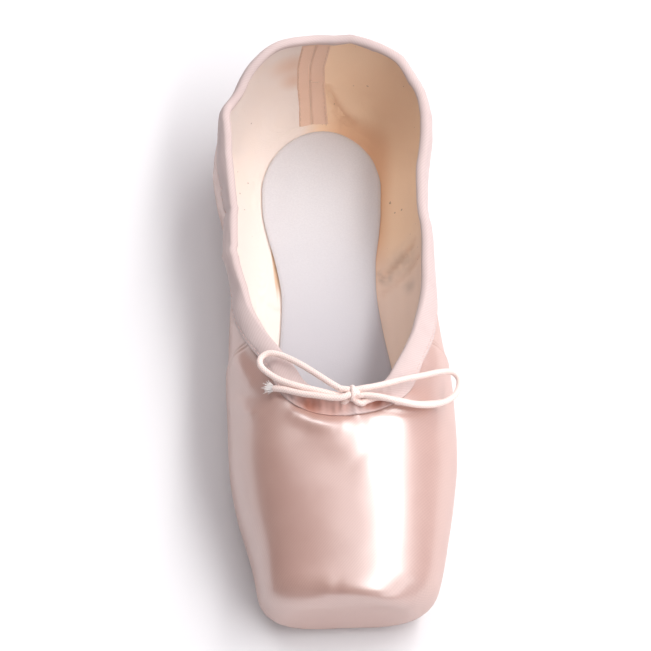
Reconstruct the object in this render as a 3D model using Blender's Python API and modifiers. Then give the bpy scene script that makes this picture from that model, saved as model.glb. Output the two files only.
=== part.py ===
"""A pointe shoe, as an assembly of the pieces that a maker puts together.

The frame stands the shoe on the floor at z = 0, with the toe towards -Y, the heel towards +Y
and the origin under the middle of the shoe. A station is a distance back from the toe's
platform. Tables and sizes are in millimetres, and the scene is in metres.
"""

import math
from collections import namedtuple

import bmesh
import bpy
import numpy as np
from mathutils import Vector

MM = 0.001

# Driving dimensions
SHOE_LENGTH = 217.5
SEAT_GAP = 0.3
SOLE_THICKNESS = 2.0
INSOLE_THICKNESS = 1.2
BINDING_THICKNESS = 0.7
BINDING_DEPTH = 8.0
BINDING_INNER_DEPTH = 1.6
CORD_DIAMETER = 2.2
TOE_EDGE = 8.5
HEEL_TURN = 38.0
HEEL_POWER = 2.25
PLEAT_HEIGHT = 0.7

# Cross-sections of the last: half width at the widest height, and the crown above it
Section = namedtuple("Section", "station half_width base widest top side_power crown_power")
SECTIONS = (
    Section(0, 28.8, 11.0, 14.0, 32.6, 2.2, 2.8),
    Section(10, 31.4, 15.0, 15.0, 36.5, 2.2, 2.7),
    Section(22, 34.0, 20.0, 16.5, 41.5, 2.2, 2.5),
    Section(40, 37.9, 24.5, 18.0, 47.0, 2.2, 2.35),
    Section(56, 39.9, 26.0, 19.0, 50.3, 2.2, 2.3),
    Section(66, 40.1, 25.6, 19.4, 51.2, 2.2, 2.25),
    Section(80, 39.9, 24.0, 20.6, 49.8, 2.2, 2.2),
    Section(90, 39.3, 22.6, 21.6, 48.2, 2.2, 2.2),
    Section(100, 38.0, 20.6, 22.6, 47.9, 2.1, 2.2),
    Section(112, 36.8, 19.0, 24.0, 50.6, 2.1, 2.2),
    Section(128, 35.9, 18.0, 25.5, 62.0, 2.1, 2.2),
    Section(144, 35.9, 18.8, 27.0, 70.0, 2.1, 2.2),
    Section(160, 36.6, 20.6, 28.6, 70.0, 2.1, 2.3),
    Section(178, 38.4, 22.5, 30.6, 74.0, 2.1, 2.4),
    Section(217.5, 39.6, 22.5, 32.0, 80.0, 2.1, 2.4),
)

# Height of the upper's underside: flat under the ball and the heel, arched between
Arch = namedtuple("Arch", "station height")
UNDERSIDE = (
    Arch(0, 3.0),
    Arch(14, 2.5),
    Arch(30, 2.3),
    Arch(68, 2.3),
    Arch(86, 3.3),
    Arch(106, 4.8),
    Arch(126, 5.0),
    Arch(150, 3.9),
    Arch(174, 2.3),
    Arch(217.5, 2.3),
)

# Softness of the cloth: sideways drift of the middle line, and the slack of each side. Slack is
# a belly that the drawstring takes in again at the collar.
Slack = namedtuple("Slack", "station drift left right")
SLACK = (
    Slack(0, 0.0, 0.0, 0.0),
    Slack(20, 1.3, 0.0, 0.0),
    Slack(42, 0.9, 0.0, 0.0),
    Slack(68, 1.2, 0.0, 0.0),
    Slack(100, 0.4, 0.3, 0.4),
    Slack(128, -0.1, 0.6, 0.7),
    Slack(152, -0.5, 2.2, -0.6),
    Slack(170, -0.5, 2.6, 0.0),
    Slack(182, -0.1, 1.6, 0.8),
    Slack(196, 0.3, -2.6, 0.0),
    Slack(217.5, 0.3, 0.0, 0.0),
)

# Thickness of the upper's wall: stiffened box, then cloth and lining
Wall = namedtuple("Wall", "station thickness")
WALL = (Wall(0, 3.0), Wall(38, 2.8), Wall(60, 2.1), Wall(84, 1.5), Wall(110, 1.2), Wall(217.5, 1.2))

# Closed outlines in plan, from the front end to the back end, with a sideways drift of their own
Outline = namedtuple("Outline", "station half_width drift height", defaults=(0.0, 0.0))
COLLAR = (
    Outline(67.3, 0.0, 0.3, 51.0),
    Outline(69.2, 9.0, 0.3, 50.6),
    Outline(73.4, 14.6, 0.5, 49.2),
    Outline(81, 18.6, 0.9, 46.9),
    Outline(90, 23.0, 1.2, 43.7),
    Outline(100, 27.6, 0.8, 40.8),
    Outline(112, 31.3, 0.3, 38.9),
    Outline(128, 34.0, 0.0, 38.6),
    Outline(142, 34.6, 0.0, 39.8),
    Outline(160, 34.8, 0.0, 43.2),
    Outline(175, 36.2, 0.0, 47.5),
    Outline(187, 36.2, 0.0, 51.2),
    Outline(197, 31.5, 0.4, 53.8),
    Outline(205, 23.0, 0.4, 55.6),
    Outline(211, 11.5, 0.0, 56.8),
    Outline(213.5, 0.0, 0.0, 57.2),
)
OUTSOLE = (
    Outline(27, 0.0),
    Outline(28.5, 8.0),
    Outline(33, 15.0),
    Outline(44, 21.5),
    Outline(60, 24.6),
    Outline(76, 23.2),
    Outline(96, 19.0),
    Outline(116, 16.6),
    Outline(136, 16.6),
    Outline(158, 19.2),
    Outline(178, 21.4),
    Outline(192, 19.2),
    Outline(201, 13.0),
    Outline(205, 6.5),
    Outline(206.5, 0.0),
)
OPENING = (
    Outline(40, 0.0),
    Outline(41.5, 7.0),
    Outline(47, 13.0),
    Outline(62, 16.5),
    Outline(80, 15.0),
    Outline(100, 11.5),
    Outline(130, 9.5),
    Outline(158, 11.5),
    Outline(178, 13.5),
    Outline(190, 11.0),
    Outline(196, 6.5),
    Outline(198, 0.0),
)
INSOLE = (
    Outline(15, 0.0),
    Outline(17, 8.0),
    Outline(23, 14.0),
    Outline(36, 19.5),
    Outline(54, 22.6),
    Outline(74, 23.0),
    Outline(90, 22.2),
    Outline(104, 20.4),
    Outline(118, 18.6),
    Outline(132, 17.6),
    Outline(146, 18.6, -0.3),
    Outline(158, 20.7, -0.5),
    Outline(170, 22.3, -0.7),
    Outline(181, 22.6, -0.7),
    Outline(191, 20.4, -0.6),
    Outline(199, 15.6, -0.4),
    Outline(204.5, 9.0, -0.2),
    Outline(207, 0.0),
)

# Spokes that go round the shoe: two fans with straight rows between them
FRONT_CENTRE, REAR_CENTRE = 84.0, 174.0
FRONT_SPOKES, STRAIGHT_SPOKES, REAR_SPOKES = 22, 12, 9
RINGS = 20
Spoke = namedtuple("Spoke", "station azimuth")

# The bow's cord, as (x, station, height) points chosen by hand
KNOT_CENTRE = (3.4, 65.6, 55.6)
KNOT_RADII = (3.3, 2.7, 2.4)
LEFT_LOOP = (
    (-0.5, 66.8, 56.6),
    (-4.4, 70.0, 56.0),
    (-9.5, 74.9, 54.4),
    (-14.9, 79.8, 52.6),
    (-20.3, 83.6, 51.0),
    (-24.4, 84.8, 50.2),
    (-27.2, 82.8, 49.8),
    (-26.6, 79.0, 50.4),
    (-21.6, 73.8, 52.0),
    (-15.2, 70.1, 53.6),
    (-7.8, 67.3, 54.6),
    (-0.6, 65.0, 54.8),
)
RIGHT_LOOP = (
    (7.4, 66.7, 56.8),
    (12.8, 68.0, 56.0),
    (22.1, 71.6, 53.4),
    (28.5, 74.1, 50.8),
    (34.5, 76.4, 48.6),
    (38.9, 77.2, 47.0),
    (41.3, 74.8, 46.0),
    (40.5, 70.4, 45.8),
    (37.3, 66.6, 46.8),
    (31.9, 63.8, 48.8),
    (25.7, 62.3, 51.8),
    (18.9, 62.5, 54.8),
    (12.7, 63.8, 55.8),
    (7.5, 64.9, 55.3),
)
LEFT_END = (
    (-0.9, 63.3, 56.7),
    (-4.2, 63.8, 56.2),
    (-8.2, 65.0, 55.5),
    (-14.0, 67.0, 53.8),
    (-19.6, 69.8, 51.6),
    (-24.0, 71.8, 49.2),
    (-28.0, 74.0, 45.8),
)
RIGHT_END = (
    (6.6, 62.6, 53.6),
    (9.4, 64.0, 53.3),
    (12.8, 64.9, 53.0),
    (19.1, 64.4, 51.5),
    (25.9, 64.4, 48.4),
    (32.1, 66.4, 44.6),
    (34.8, 67.8, 42.6),
)

SATIN = (0.79, 0.60, 0.55, 1.0)
TWILL = (0.82, 0.62, 0.57, 1.0)
SUEDE = (0.66, 0.62, 0.65, 1.0)
LEATHER = (0.70, 0.55, 0.42, 1.0)
ELASTIC = (0.86, 0.70, 0.64, 1.0)


def smooth_curve(x, y, at):
    """A monotone cubic curve through the points (x, y), read at the given places."""
    x, y = np.array(x, float), np.array(y, float)
    step = np.diff(x)
    rise = np.diff(y) / step
    slope = np.zeros_like(y)
    slope[0], slope[-1] = rise[0], rise[-1]
    for i in range(1, len(y) - 1):
        if rise[i - 1] * rise[i] > 0:
            near = 2 * step[i] + step[i - 1]
            far = step[i] + 2 * step[i - 1]
            slope[i] = (near + far) / (near / rise[i - 1] + far / rise[i])
    at = np.clip(at, x[0], x[-1])
    i = np.clip(np.searchsorted(x, at, side="right") - 1, 0, len(x) - 2)
    s = (at - x[i]) / step[i]
    ends = (1 + 2 * s) * (1 - s) ** 2 * y[i] + s * s * (3 - 2 * s) * y[i + 1]
    return ends + step[i] * (s * (1 - s) ** 2 * slope[i] + s * s * (s - 1) * slope[i + 1])


def smooth_table(rows, at, column):
    """The smooth curve through one column of a table, read at the given stations."""
    return smooth_curve([row.station for row in rows], [getattr(row, column) for row in rows], at)


def ease(value, low, high):
    """A smooth step from 0 at low to 1 at high."""
    s = np.clip((value - low) / (high - low), 0.0, 1.0)
    return s * s * (3 - 2 * s)


def superellipse(ratio, power):
    """Height on a unit superellipse at a distance from its middle."""
    return np.clip(1 - np.clip(ratio, 0, 1) ** power, 0, 1) ** (1 / power)


def heel_back(height):
    """Station of the heel's back edge: tucked under at the sole and leaning in at the collar."""
    tuck = 9.0 * np.clip((22.0 - height) / 20.0, 0, 1) ** 2
    lean = 4.6 * np.clip((height - 22.0) / 36.0, 0, None) ** 2
    return SHOE_LENGTH - tuck - lean


def last_half_width(side, station, height):
    """Half width of the last on one side, or -1 where the last has ended."""
    width, base, widest, top, side_power, crown_power = (
        smooth_table(SECTIONS, station, column) for column in Section._fields[1:]
    )
    under = smooth_table(UNDERSIDE, station, "height")
    rounding = TOE_EDGE * (1 - np.sqrt(1 - np.clip(1 - station / TOE_EDGE, 0, 1) ** 2))
    width, base = width - rounding, base - rounding * 0.5
    top, under = top - rounding * 0.9, under + rounding * 0.45
    low = (widest - height) / (widest - under)
    high = (height - widest) / (top - widest)
    side_curve = base + (width - base) * superellipse(low, side_power)
    half = np.where(height < widest, side_curve, width * superellipse(high, crown_power))
    turn = SHOE_LENGTH - HEEL_TURN
    behind = np.clip((station - turn) / (heel_back(height) - turn), 0, None)
    half = half * superellipse(behind, HEEL_POWER)
    slack = np.where(
        side > 0, smooth_table(SLACK, station, "right"), smooth_table(SLACK, station, "left")
    )
    drawn_in = np.where(slack > 0, ease(height, 30.0, 50.0), 0.0)
    half = half + slack * ease(height, 6.0, 26.0) * (1 - drawn_in) * np.clip(half / width, 0, 1)
    return np.where((low >= 1) | (high >= 1) | (station < 0) | (behind >= 1), -1.0, half)


def inside_last(points):
    """Whether each (x, station, height) point is inside the last."""
    offset = points[:, 0] - smooth_table(SLACK, points[:, 1], "drift")
    return np.abs(offset) < last_half_width(offset, points[:, 1], points[:, 2])


def cast_to_last(start, way, reach=120.0, stride=2.0, halvings=18):
    """Distance along each ray from inside the last to its skin."""
    near = np.zeros(len(start))
    going = np.ones(len(start), bool)
    while going.any() and near.max() < reach:
        going &= inside_last(start + way * (near + stride)[:, None])
        near = np.where(going, near + stride, near)
    far = near + stride
    for _ in range(halvings):
        middle = (near + far) / 2
        within = inside_last(start + way * middle[:, None])
        near, far = np.where(within, middle, near), np.where(within, far, middle)
    return (near + far) / 2


def shoe_spokes():
    """The spokes in order: from the toe round the +X side to the heel, and back on the -X side."""
    quarter = math.pi / 2
    half = [Spoke(FRONT_CENTRE, quarter * i / FRONT_SPOKES) for i in range(FRONT_SPOKES + 1)]
    for i in range(1, STRAIGHT_SPOKES + 1):
        part = i / STRAIGHT_SPOKES
        half.append(Spoke(FRONT_CENTRE + (REAR_CENTRE - FRONT_CENTRE) * part, quarter))
    half += [Spoke(REAR_CENTRE, quarter + quarter * i / REAR_SPOKES) for i in range(1, REAR_SPOKES + 1)]
    return half + [Spoke(s.station, -s.azimuth) for s in half[-2:0:-1]]


def outline_half_width(rows, station):
    """Half width of a closed outline at a station, round at both of its ends."""
    squares = [row.half_width ** 2 for row in rows]
    return math.sqrt(max(0.0, float(smooth_curve([row.station for row in rows], squares, station))))


def outline_radius(rows, spoke, inset=0.0):
    """Distance in plan from a spoke's centre to a closed outline."""
    near, far = 0.0, 140.0
    for _ in range(36):
        middle = (near + far) / 2
        station = spoke.station - middle * math.cos(spoke.azimuth)
        across = abs(middle * math.sin(spoke.azimuth))
        within = rows[0].station <= station <= rows[-1].station
        if within and across <= outline_half_width(rows, station):
            near = middle
        else:
            far = middle
    return near - inset


def on_spoke(spoke, radius, height, rows=()):
    """The (x, station, height) point at a radius on a spoke, with the drift of an outline."""
    station = spoke.station - radius * math.cos(spoke.azimuth)
    drift = float(smooth_table(SLACK, station, "drift"))
    if rows:
        drift += float(smooth_table(rows, station, "drift"))
    return (radius * math.sin(spoke.azimuth) + drift, station, height)


def upper_profile(spoke, fine=84):
    """The last's skin on one spoke, from the sole opening to the collar.

    The steps are equal up to the binding, and the last two are each half as deep as it is.
    """
    forward = math.cos(spoke.azimuth)
    collar_radius = outline_radius(COLLAR, spoke)
    opening_radius = outline_radius(OPENING, spoke)
    collar_station = spoke.station - collar_radius * forward
    aside = float(smooth_table(COLLAR, collar_station, "drift")) * math.copysign(1, spoke.azimuth)
    collar_radius += aside * abs(math.sin(spoke.azimuth))
    opening_station = spoke.station - opening_radius * forward
    collar_height = float(smooth_table(COLLAR, collar_station, "height"))
    opening_height = float(smooth_table(UNDERSIDE, opening_station, "height"))
    centre_radius = 14.0 + (32.0 if forward > 0 else 8.0) * abs(forward)
    centre_height = 21.0
    first = math.atan2(opening_height - centre_height, opening_radius - centre_radius)
    last = math.atan2(collar_height - centre_height, collar_radius - centre_radius)
    if last < first:
        last += 2 * math.pi
    turn = np.linspace(first, last, fine)
    across, along = math.sin(spoke.azimuth), -forward
    way = np.stack([np.cos(turn) * across, np.cos(turn) * along, np.sin(turn)], axis=1)
    start = np.tile(np.array(on_spoke(spoke, centre_radius, centre_height)), (fine, 1))
    skin = start + way * cast_to_last(start, way)[:, None]
    walked = np.concatenate([[0.0], np.cumsum(np.linalg.norm(np.diff(skin, axis=0), axis=1))])
    below = walked[-1] - BINDING_DEPTH
    stops = np.append(np.linspace(0.0, below, RINGS - 2), (below + BINDING_DEPTH / 2, walked[-1]))
    return np.stack([np.interp(stops, walked, skin[:, axis]) for axis in range(3)], axis=1)


def surface_normals(grid):
    """Outward unit normals of a grid of spokes by rings."""
    round_shoe = np.roll(grid, -1, axis=0) - np.roll(grid, 1, axis=0)
    up_wall = np.gradient(grid, axis=1)
    normals = np.cross(round_shoe, up_wall)
    return normals / np.linalg.norm(normals, axis=2, keepdims=True)


def toe_pleats(grid, spokes):
    """Pleats gathered under the toe, outside the sole's edge, as folds on alternate spokes."""
    normals = surface_normals(grid)
    pleated = grid.copy()
    for i, spoke in enumerate(spokes):
        sole_edge = outline_radius(OUTSOLE, spoke)
        reach = np.hypot(grid[i, :, 0], grid[i, :, 1] - spoke.station)
        weight = ease(reach, sole_edge + 2.0, sole_edge + 8.0) * (1 - ease(grid[i, :, 2], 5.0, 13.0))
        weight *= ease(math.cos(spoke.azimuth), 0.1, 0.35) * ease(grid[i, :, 1], 3.0, 10.0)
        if i % 2:
            pleated[i] += normals[i] * (weight * PLEAT_HEIGHT)[:, None]
    return pleated


def to_scene(point):
    """A (x, station, height) point in millimetres as a place in the scene."""
    return Vector((point[0], point[1] - SHOE_LENGTH / 2, point[2])) * MM


def new_object(name, mesh, parts, material):
    """An object in the shoe's collection with one material."""
    mesh.materials.append(material)
    piece = bpy.data.objects.new(name, mesh)
    parts.objects.link(piece)
    return piece


def loft_mesh(rows, close_rows=False):
    """A mesh that joins rings of points round the shoe; a tube where the last meets the first.

    Every facet is split on the same slant, so that nested pieces keep their gap.
    """
    shape = bmesh.new()
    rings = [[shape.verts.new(to_scene(point)) for point in row] for row in rows]
    count = len(rings[0])
    pairs = list(zip(rings, rings[1:]))
    if close_rows:
        pairs.append((rings[-1], rings[0]))
    for near, far in pairs:
        rising = sum(vert.co.z for vert in far) >= sum(vert.co.z for vert in near)
        for i in range(count):
            j = (i + 1) % count
            if rising:
                shape.faces.new((near[i], near[j], far[j]))
                shape.faces.new((near[i], far[j], far[i]))
            else:
                shape.faces.new((near[i], near[j], far[i]))
                shape.faces.new((near[j], far[j], far[i]))
    return shape, rings


def bridge_halves(shape, ring):
    """Caps a ring that goes round the shoe with strips across, so that it follows the arch."""
    count = len(ring)
    half = count // 2
    shape.faces.new((ring[0], ring[1], ring[count - 1]))
    for i in range(1, half - 1):
        shape.faces.new((ring[i], ring[i + 1], ring[count - i - 1], ring[count - i]))
    shape.faces.new((ring[half - 1], ring[half], ring[half + 1]))


def finish_mesh(name, shape, smooth_angle=35.0):
    """A mesh from the shape, with its faces pointing out."""
    bmesh.ops.recalc_face_normals(shape, faces=shape.faces)
    mesh = bpy.data.meshes.new(name)
    shape.to_mesh(mesh)
    shape.free()
    mesh.shade_smooth()
    mesh.set_sharp_from_angle(angle=math.radians(smooth_angle))
    return mesh


def make_upper(grid, parts, material):
    """The upper: one hollow wall, open at the collar and under the foot."""
    shape, _ = loft_mesh([grid[:, ring] for ring in range(RINGS)])
    bmesh.ops.recalc_face_normals(shape, faces=shape.faces)
    mesh = bpy.data.meshes.new("upper")
    shape.to_mesh(mesh)
    shape.free()
    mesh.shade_smooth()
    upper = new_object("upper", mesh, parts, material)
    thickest = max(row.thickness for row in WALL)
    group = upper.vertex_groups.new(name="wall")
    stations = grid.transpose(1, 0, 2).reshape(-1, 3)[:, 1]
    for index, station in enumerate(stations):
        thickness = float(smooth_table(WALL, station, "thickness"))
        group.add([index], thickness / thickest, "REPLACE")
    shell = upper.modifiers.new("wall", "SOLIDIFY")
    shell.thickness = thickest * MM
    shell.offset = -1.0
    shell.use_even_offset = True
    shell.vertex_group = group.name
    return upper


def binding_section(profile, outward):
    """One section of the binding, from a spoke's profile read down from the collar's edge."""
    steps = np.linalg.norm(np.diff(profile, axis=0), axis=1)
    walked = np.concatenate([[0.0], np.cumsum(steps)])
    upward = (profile[0] - profile[1]) / steps[0]

    def leg_point(depth, out, inner=False):
        """A point at a depth below the collar's edge, at a distance off the wall's skin."""
        down = max(depth, 0.0)
        place = np.array([np.interp(down, walked, profile[:, axis]) for axis in range(3)])
        normal = np.array([np.interp(down, walked, outward[:, axis]) for axis in range(3)])
        if inner:
            out = -out - float(smooth_table(WALL, place[1], "thickness"))
        return place + normal / np.linalg.norm(normal) * out - upward * min(depth, 0.0)

    near, far = SEAT_GAP, SEAT_GAP + BINDING_THICKNESS
    crest = (leg_point(-far - 0.1, far) + leg_point(-far - 0.1, far, inner=True)) / 2
    return [
        leg_point(BINDING_DEPTH, near),
        leg_point(BINDING_DEPTH, far),
        leg_point(BINDING_DEPTH / 2, far),
        leg_point(-near, far),
        crest,
        leg_point(-near, far, inner=True),
        leg_point(BINDING_INNER_DEPTH, far, inner=True),
        leg_point(BINDING_INNER_DEPTH, near, inner=True),
        leg_point(-near, near, inner=True),
        leg_point(-near, near),
        leg_point(BINDING_DEPTH / 2, near),
    ]


def make_binding(grid, parts, material):
    """The binding: a strip of cloth folded over the collar's edge, deeper on the outside."""
    normals = surface_normals(grid)
    sections = [binding_section(grid[i, ::-1], normals[i, ::-1]) for i in range(len(grid))]
    shape, _ = loft_mesh(list(zip(*sections)), close_rows=True)
    return new_object("binding", finish_mesh("binding", shape), parts, material)


def sheet_ring(rows, spokes, rise, inset=0.0):
    """One ring of a sheet under or over the upper's floor, at a height above its underside."""
    ring = []
    for spoke in spokes:
        radius = outline_radius(rows, spoke, inset)
        x, station, _ = on_spoke(spoke, radius, 0.0, rows)
        height = float(smooth_table(UNDERSIDE, station, "height"))
        ring.append((x, station, height + rise(station)))
    return ring


def make_outsole(spokes, parts, material):
    """The outsole: leather, flat on the floor at the ball and the heel, with an eased edge."""
    top = -SEAT_GAP
    bottom = -SEAT_GAP - SOLE_THICKNESS
    edge_ease = 0.7
    rows = [
        sheet_ring(OUTSOLE, spokes, lambda station: bottom, edge_ease),
        sheet_ring(OUTSOLE, spokes, lambda station: bottom + edge_ease),
        sheet_ring(OUTSOLE, spokes, lambda station: top),
    ]
    shape, rings = loft_mesh(rows)
    bridge_halves(shape, rings[0])
    bridge_halves(shape, rings[-1])
    return new_object("outsole", finish_mesh("outsole", shape), parts, material)


def make_insole(spokes, parts, material):
    """The insole: a covered board on the upper's turned-in margin."""

    def seat(station):
        return float(smooth_table(WALL, station, "thickness")) + SEAT_GAP

    rows = [
        sheet_ring(INSOLE, spokes, seat),
        sheet_ring(INSOLE, spokes, lambda station: seat(station) + INSOLE_THICKNESS),
    ]
    shape, rings = loft_mesh(rows)
    bridge_halves(shape, rings[0])
    bridge_halves(shape, rings[-1])
    return new_object("insole", finish_mesh("insole", shape), parts, material)


def smooth_route(points, spacing):
    """Points at an even spacing along a smooth curve through the route's own points."""
    route = [Vector(point) for point in points]
    route = [route[0] * 2 - route[1]] + route + [route[-1] * 2 - route[-2]]
    fine = []
    steps = 24
    for a, b, c, d in zip(route, route[1:], route[2:], route[3:]):
        for i in range(steps):
            s = i / steps
            curve = 2 * b + (c - a) * s + (2 * a - 5 * b + 4 * c - d) * s ** 2
            fine.append((curve + (3 * b - a - 3 * c + d) * s ** 3) / 2)
    fine.append(route[-2])
    walked = [0.0]
    for a, b in zip(fine, fine[1:]):
        walked.append(walked[-1] + (b - a).length)
    count = max(2, round(walked[-1] / spacing))
    stops = np.linspace(0.0, walked[-1], count + 1)
    return [tuple(np.interp(stop, walked, [p[k] for p in fine]) for k in range(3)) for stop in stops]


def make_cord(name, points, parts, material):
    """A round elastic cord along a route."""
    route = smooth_route(points, CORD_DIAMETER * 2.4)
    curve = bpy.data.curves.new(name, "CURVE")
    curve.dimensions = "3D"
    curve.bevel_depth = CORD_DIAMETER / 2 * MM
    curve.bevel_resolution = 2
    curve.use_fill_caps = True
    curve.materials.append(material)
    spline = curve.splines.new("POLY")
    spline.points.add(len(route) - 1)
    for point, place in zip(spline.points, route):
        point.co = (*to_scene(place), 1.0)
    cord = bpy.data.objects.new(name, curve)
    parts.objects.link(cord)
    return cord


def make_knot(parts, material):
    """The bow's knot: a tight core with one turn of the cord round its middle."""
    shape = bmesh.new()
    bmesh.ops.create_uvsphere(shape, u_segments=18, v_segments=12, radius=1.0)
    for vert in shape.verts:
        turn = 1 - ease(abs(vert.co.x) * KNOT_RADII[0], 0.5 * CORD_DIAMETER, 0.95 * CORD_DIAMETER)
        vert.co = Vector(vert.co[k] * KNOT_RADII[k] for k in range(3))
        vert.co.y *= 1 + 0.14 * turn
        vert.co.z *= 1 + 0.10 * turn
        vert.co *= MM
    knot = new_object("bow_knot", finish_mesh("bow_knot", shape), parts, material)
    knot.location = to_scene(KNOT_CENTRE)
    return knot


def make_material(name, colour, roughness, sheen=0.0):
    """A material with the part's own colour."""
    material = bpy.data.materials.new(name)
    material.use_nodes = True
    shader = material.node_tree.nodes["Principled BSDF"]
    shader.inputs["Base Color"].default_value = colour
    shader.inputs["Roughness"].default_value = roughness
    shader.inputs["Metallic"].default_value = 0.0
    shader.inputs["Sheen Weight"].default_value = sheen
    return material


def main():
    """Makes the shoe."""
    for item in list(bpy.data.objects):
        bpy.data.objects.remove(item)
    parts = bpy.data.collections.new("pointe_shoe")
    bpy.context.scene.collection.children.link(parts)
    spokes = shoe_spokes()
    grid = np.array([upper_profile(spoke) for spoke in spokes])
    make_upper(toe_pleats(grid, spokes), parts, make_material("satin", SATIN, 0.35, 0.4))
    make_binding(grid, parts, make_material("twill", TWILL, 0.7))
    make_outsole(spokes, parts, make_material("sole_leather", LEATHER, 0.6))
    make_insole(spokes, parts, make_material("insole_suede", SUEDE, 0.9))
    elastic = make_material("elastic_cord", ELASTIC, 0.6)
    make_knot(parts, elastic)
    make_cord("bow_loop_left", LEFT_LOOP, parts, elastic)
    make_cord("bow_loop_right", RIGHT_LOOP, parts, elastic)
    make_cord("bow_end_left", LEFT_END, parts, elastic)
    make_cord("bow_end_right", RIGHT_END, parts, elastic)


main()
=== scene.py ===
"""Looks for the pointe shoe: cloth, seams, stitches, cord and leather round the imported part.

Tables are in millimetres: x to the side, station back from the toe's platform, and height above
the floor. Meshes are in metres, with the origin under the middle of the shoe.
"""

import math
from collections import namedtuple
from functools import lru_cache

import bmesh
import bpy
import numpy as np
from bpy.props import FloatProperty, FloatVectorProperty, IntProperty, PointerProperty
from mathutils import Matrix, Vector


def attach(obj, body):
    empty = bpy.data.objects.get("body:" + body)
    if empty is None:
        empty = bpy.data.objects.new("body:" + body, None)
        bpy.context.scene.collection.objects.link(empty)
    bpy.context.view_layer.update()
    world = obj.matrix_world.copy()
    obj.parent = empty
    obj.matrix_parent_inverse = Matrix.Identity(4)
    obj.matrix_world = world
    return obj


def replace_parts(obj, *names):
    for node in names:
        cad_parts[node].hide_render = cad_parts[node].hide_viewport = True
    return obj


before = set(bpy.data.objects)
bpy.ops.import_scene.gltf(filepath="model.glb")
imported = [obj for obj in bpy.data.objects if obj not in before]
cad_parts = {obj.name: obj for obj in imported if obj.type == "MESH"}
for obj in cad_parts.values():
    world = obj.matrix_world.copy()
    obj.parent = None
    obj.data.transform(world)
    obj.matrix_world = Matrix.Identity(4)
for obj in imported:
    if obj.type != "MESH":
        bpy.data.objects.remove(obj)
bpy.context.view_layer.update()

bl_info = {
    "name": "Pointe Shoe Looks",
    "version": (1, 0, 0),
    "blender": (4, 5, 0),
    "location": "View3D > Sidebar > Pointe Shoe",
    "description": "Dresses the packed pointe shoe in satin, twill, suede, leather and cord",
    "category": "Object",
}


def table(kind, *rows):
    """Rows of numbers under the names of their columns."""
    return tuple(kind(*row) for row in rows)


MM = 0.001
SHOE_LENGTH = 217.5
SEAT_GAP = 0.3
SOLE_THICKNESS = 2
INSOLE_THICKNESS = 1.2
BINDING_THICKNESS = 0.7
BINDING_DEPTH = 8
BINDING_INNER_DEPTH = 1.6
THROAT_END = 72
TOE_EDGE = 8.5
HEEL_TURN = 38
HEEL_POWER = 2.25
HEEL_BULGE = 22
PLEATS = 22
PLEAT_LEAN = 0.32
CREST_RISE = 1.1
MEASURED_SPOKE = 40
STITCHED_RING = 4
STITCH_SHARE = 0.66
THREAD_RADIUS = 0.15
CORD_ROUND = 7
CORD_STEP = 0.3
PATH_STEP = 2.4

# The last, as in the part: cross-sections, arch, slack, wall and outlines
Section = namedtuple("Section", "station half_width base widest top side_power crown_power")
SECTIONS = table(
    Section,
    (0, 28.8, 11, 14, 32.6, 2.2, 2.8),
    (10, 31.4, 15, 15, 36.5, 2.2, 2.7),
    (22, 34, 20, 16.5, 41.5, 2.2, 2.5),
    (40, 37.9, 24.5, 18, 47, 2.2, 2.35),
    (56, 39.9, 26, 19, 50.3, 2.2, 2.3),
    (66, 40.1, 25.6, 19.4, 51.2, 2.2, 2.25),
    (80, 39.9, 24, 20.6, 49.8, 2.2, 2.2),
    (90, 39.3, 22.6, 21.6, 48.2, 2.2, 2.2),
    (100, 38, 20.6, 22.6, 47.9, 2.1, 2.2),
    (112, 36.8, 19, 24, 50.6, 2.1, 2.2),
    (128, 35.9, 18, 25.5, 62, 2.1, 2.2),
    (144, 35.9, 18.8, 27, 70, 2.1, 2.2),
    (160, 36.6, 20.6, 28.6, 70, 2.1, 2.3),
    (178, 38.4, 22.5, 30.6, 74, 2.1, 2.4),
    (217.5, 39.6, 22.5, 32, 80, 2.1, 2.4),
)
Arch = namedtuple("Arch", "station height")
UNDERSIDE = table(
    Arch,
    (0, 3), (14, 2.5), (30, 2.3), (68, 2.3), (86, 3.3),
    (106, 4.8), (126, 5), (150, 3.9), (174, 2.3), (217.5, 2.3),
)
Slack = namedtuple("Slack", "station drift left right")
SLACK = table(
    Slack,
    (0, 0, 0, 0), (20, 1.3, 0, 0), (42, 0.9, 0, 0),
    (68, 1.2, 0, 0), (100, 0.4, 0.3, 0.4), (128, -0.1, 0.6, 0.7),
    (152, -0.5, 2.2, -0.6), (170, -0.5, 2.6, 0), (182, -0.1, 1.6, 0.8),
    (196, 0.3, -2.6, 0), (217.5, 0.3, 0, 0),
)
Wall = namedtuple("Wall", "station thickness")
WALL = table(Wall, (0, 3), (38, 2.8), (60, 2.1), (84, 1.5), (110, 1.2), (217.5, 1.2))


class Outline(namedtuple("Outline", "station half_width drift height", defaults=(0, 0))):
    """One place on a closed outline in plan."""

    @property
    def square(self):
        """The half width squared, which stays smooth where the outline closes."""
        return self.half_width ** 2


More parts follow.
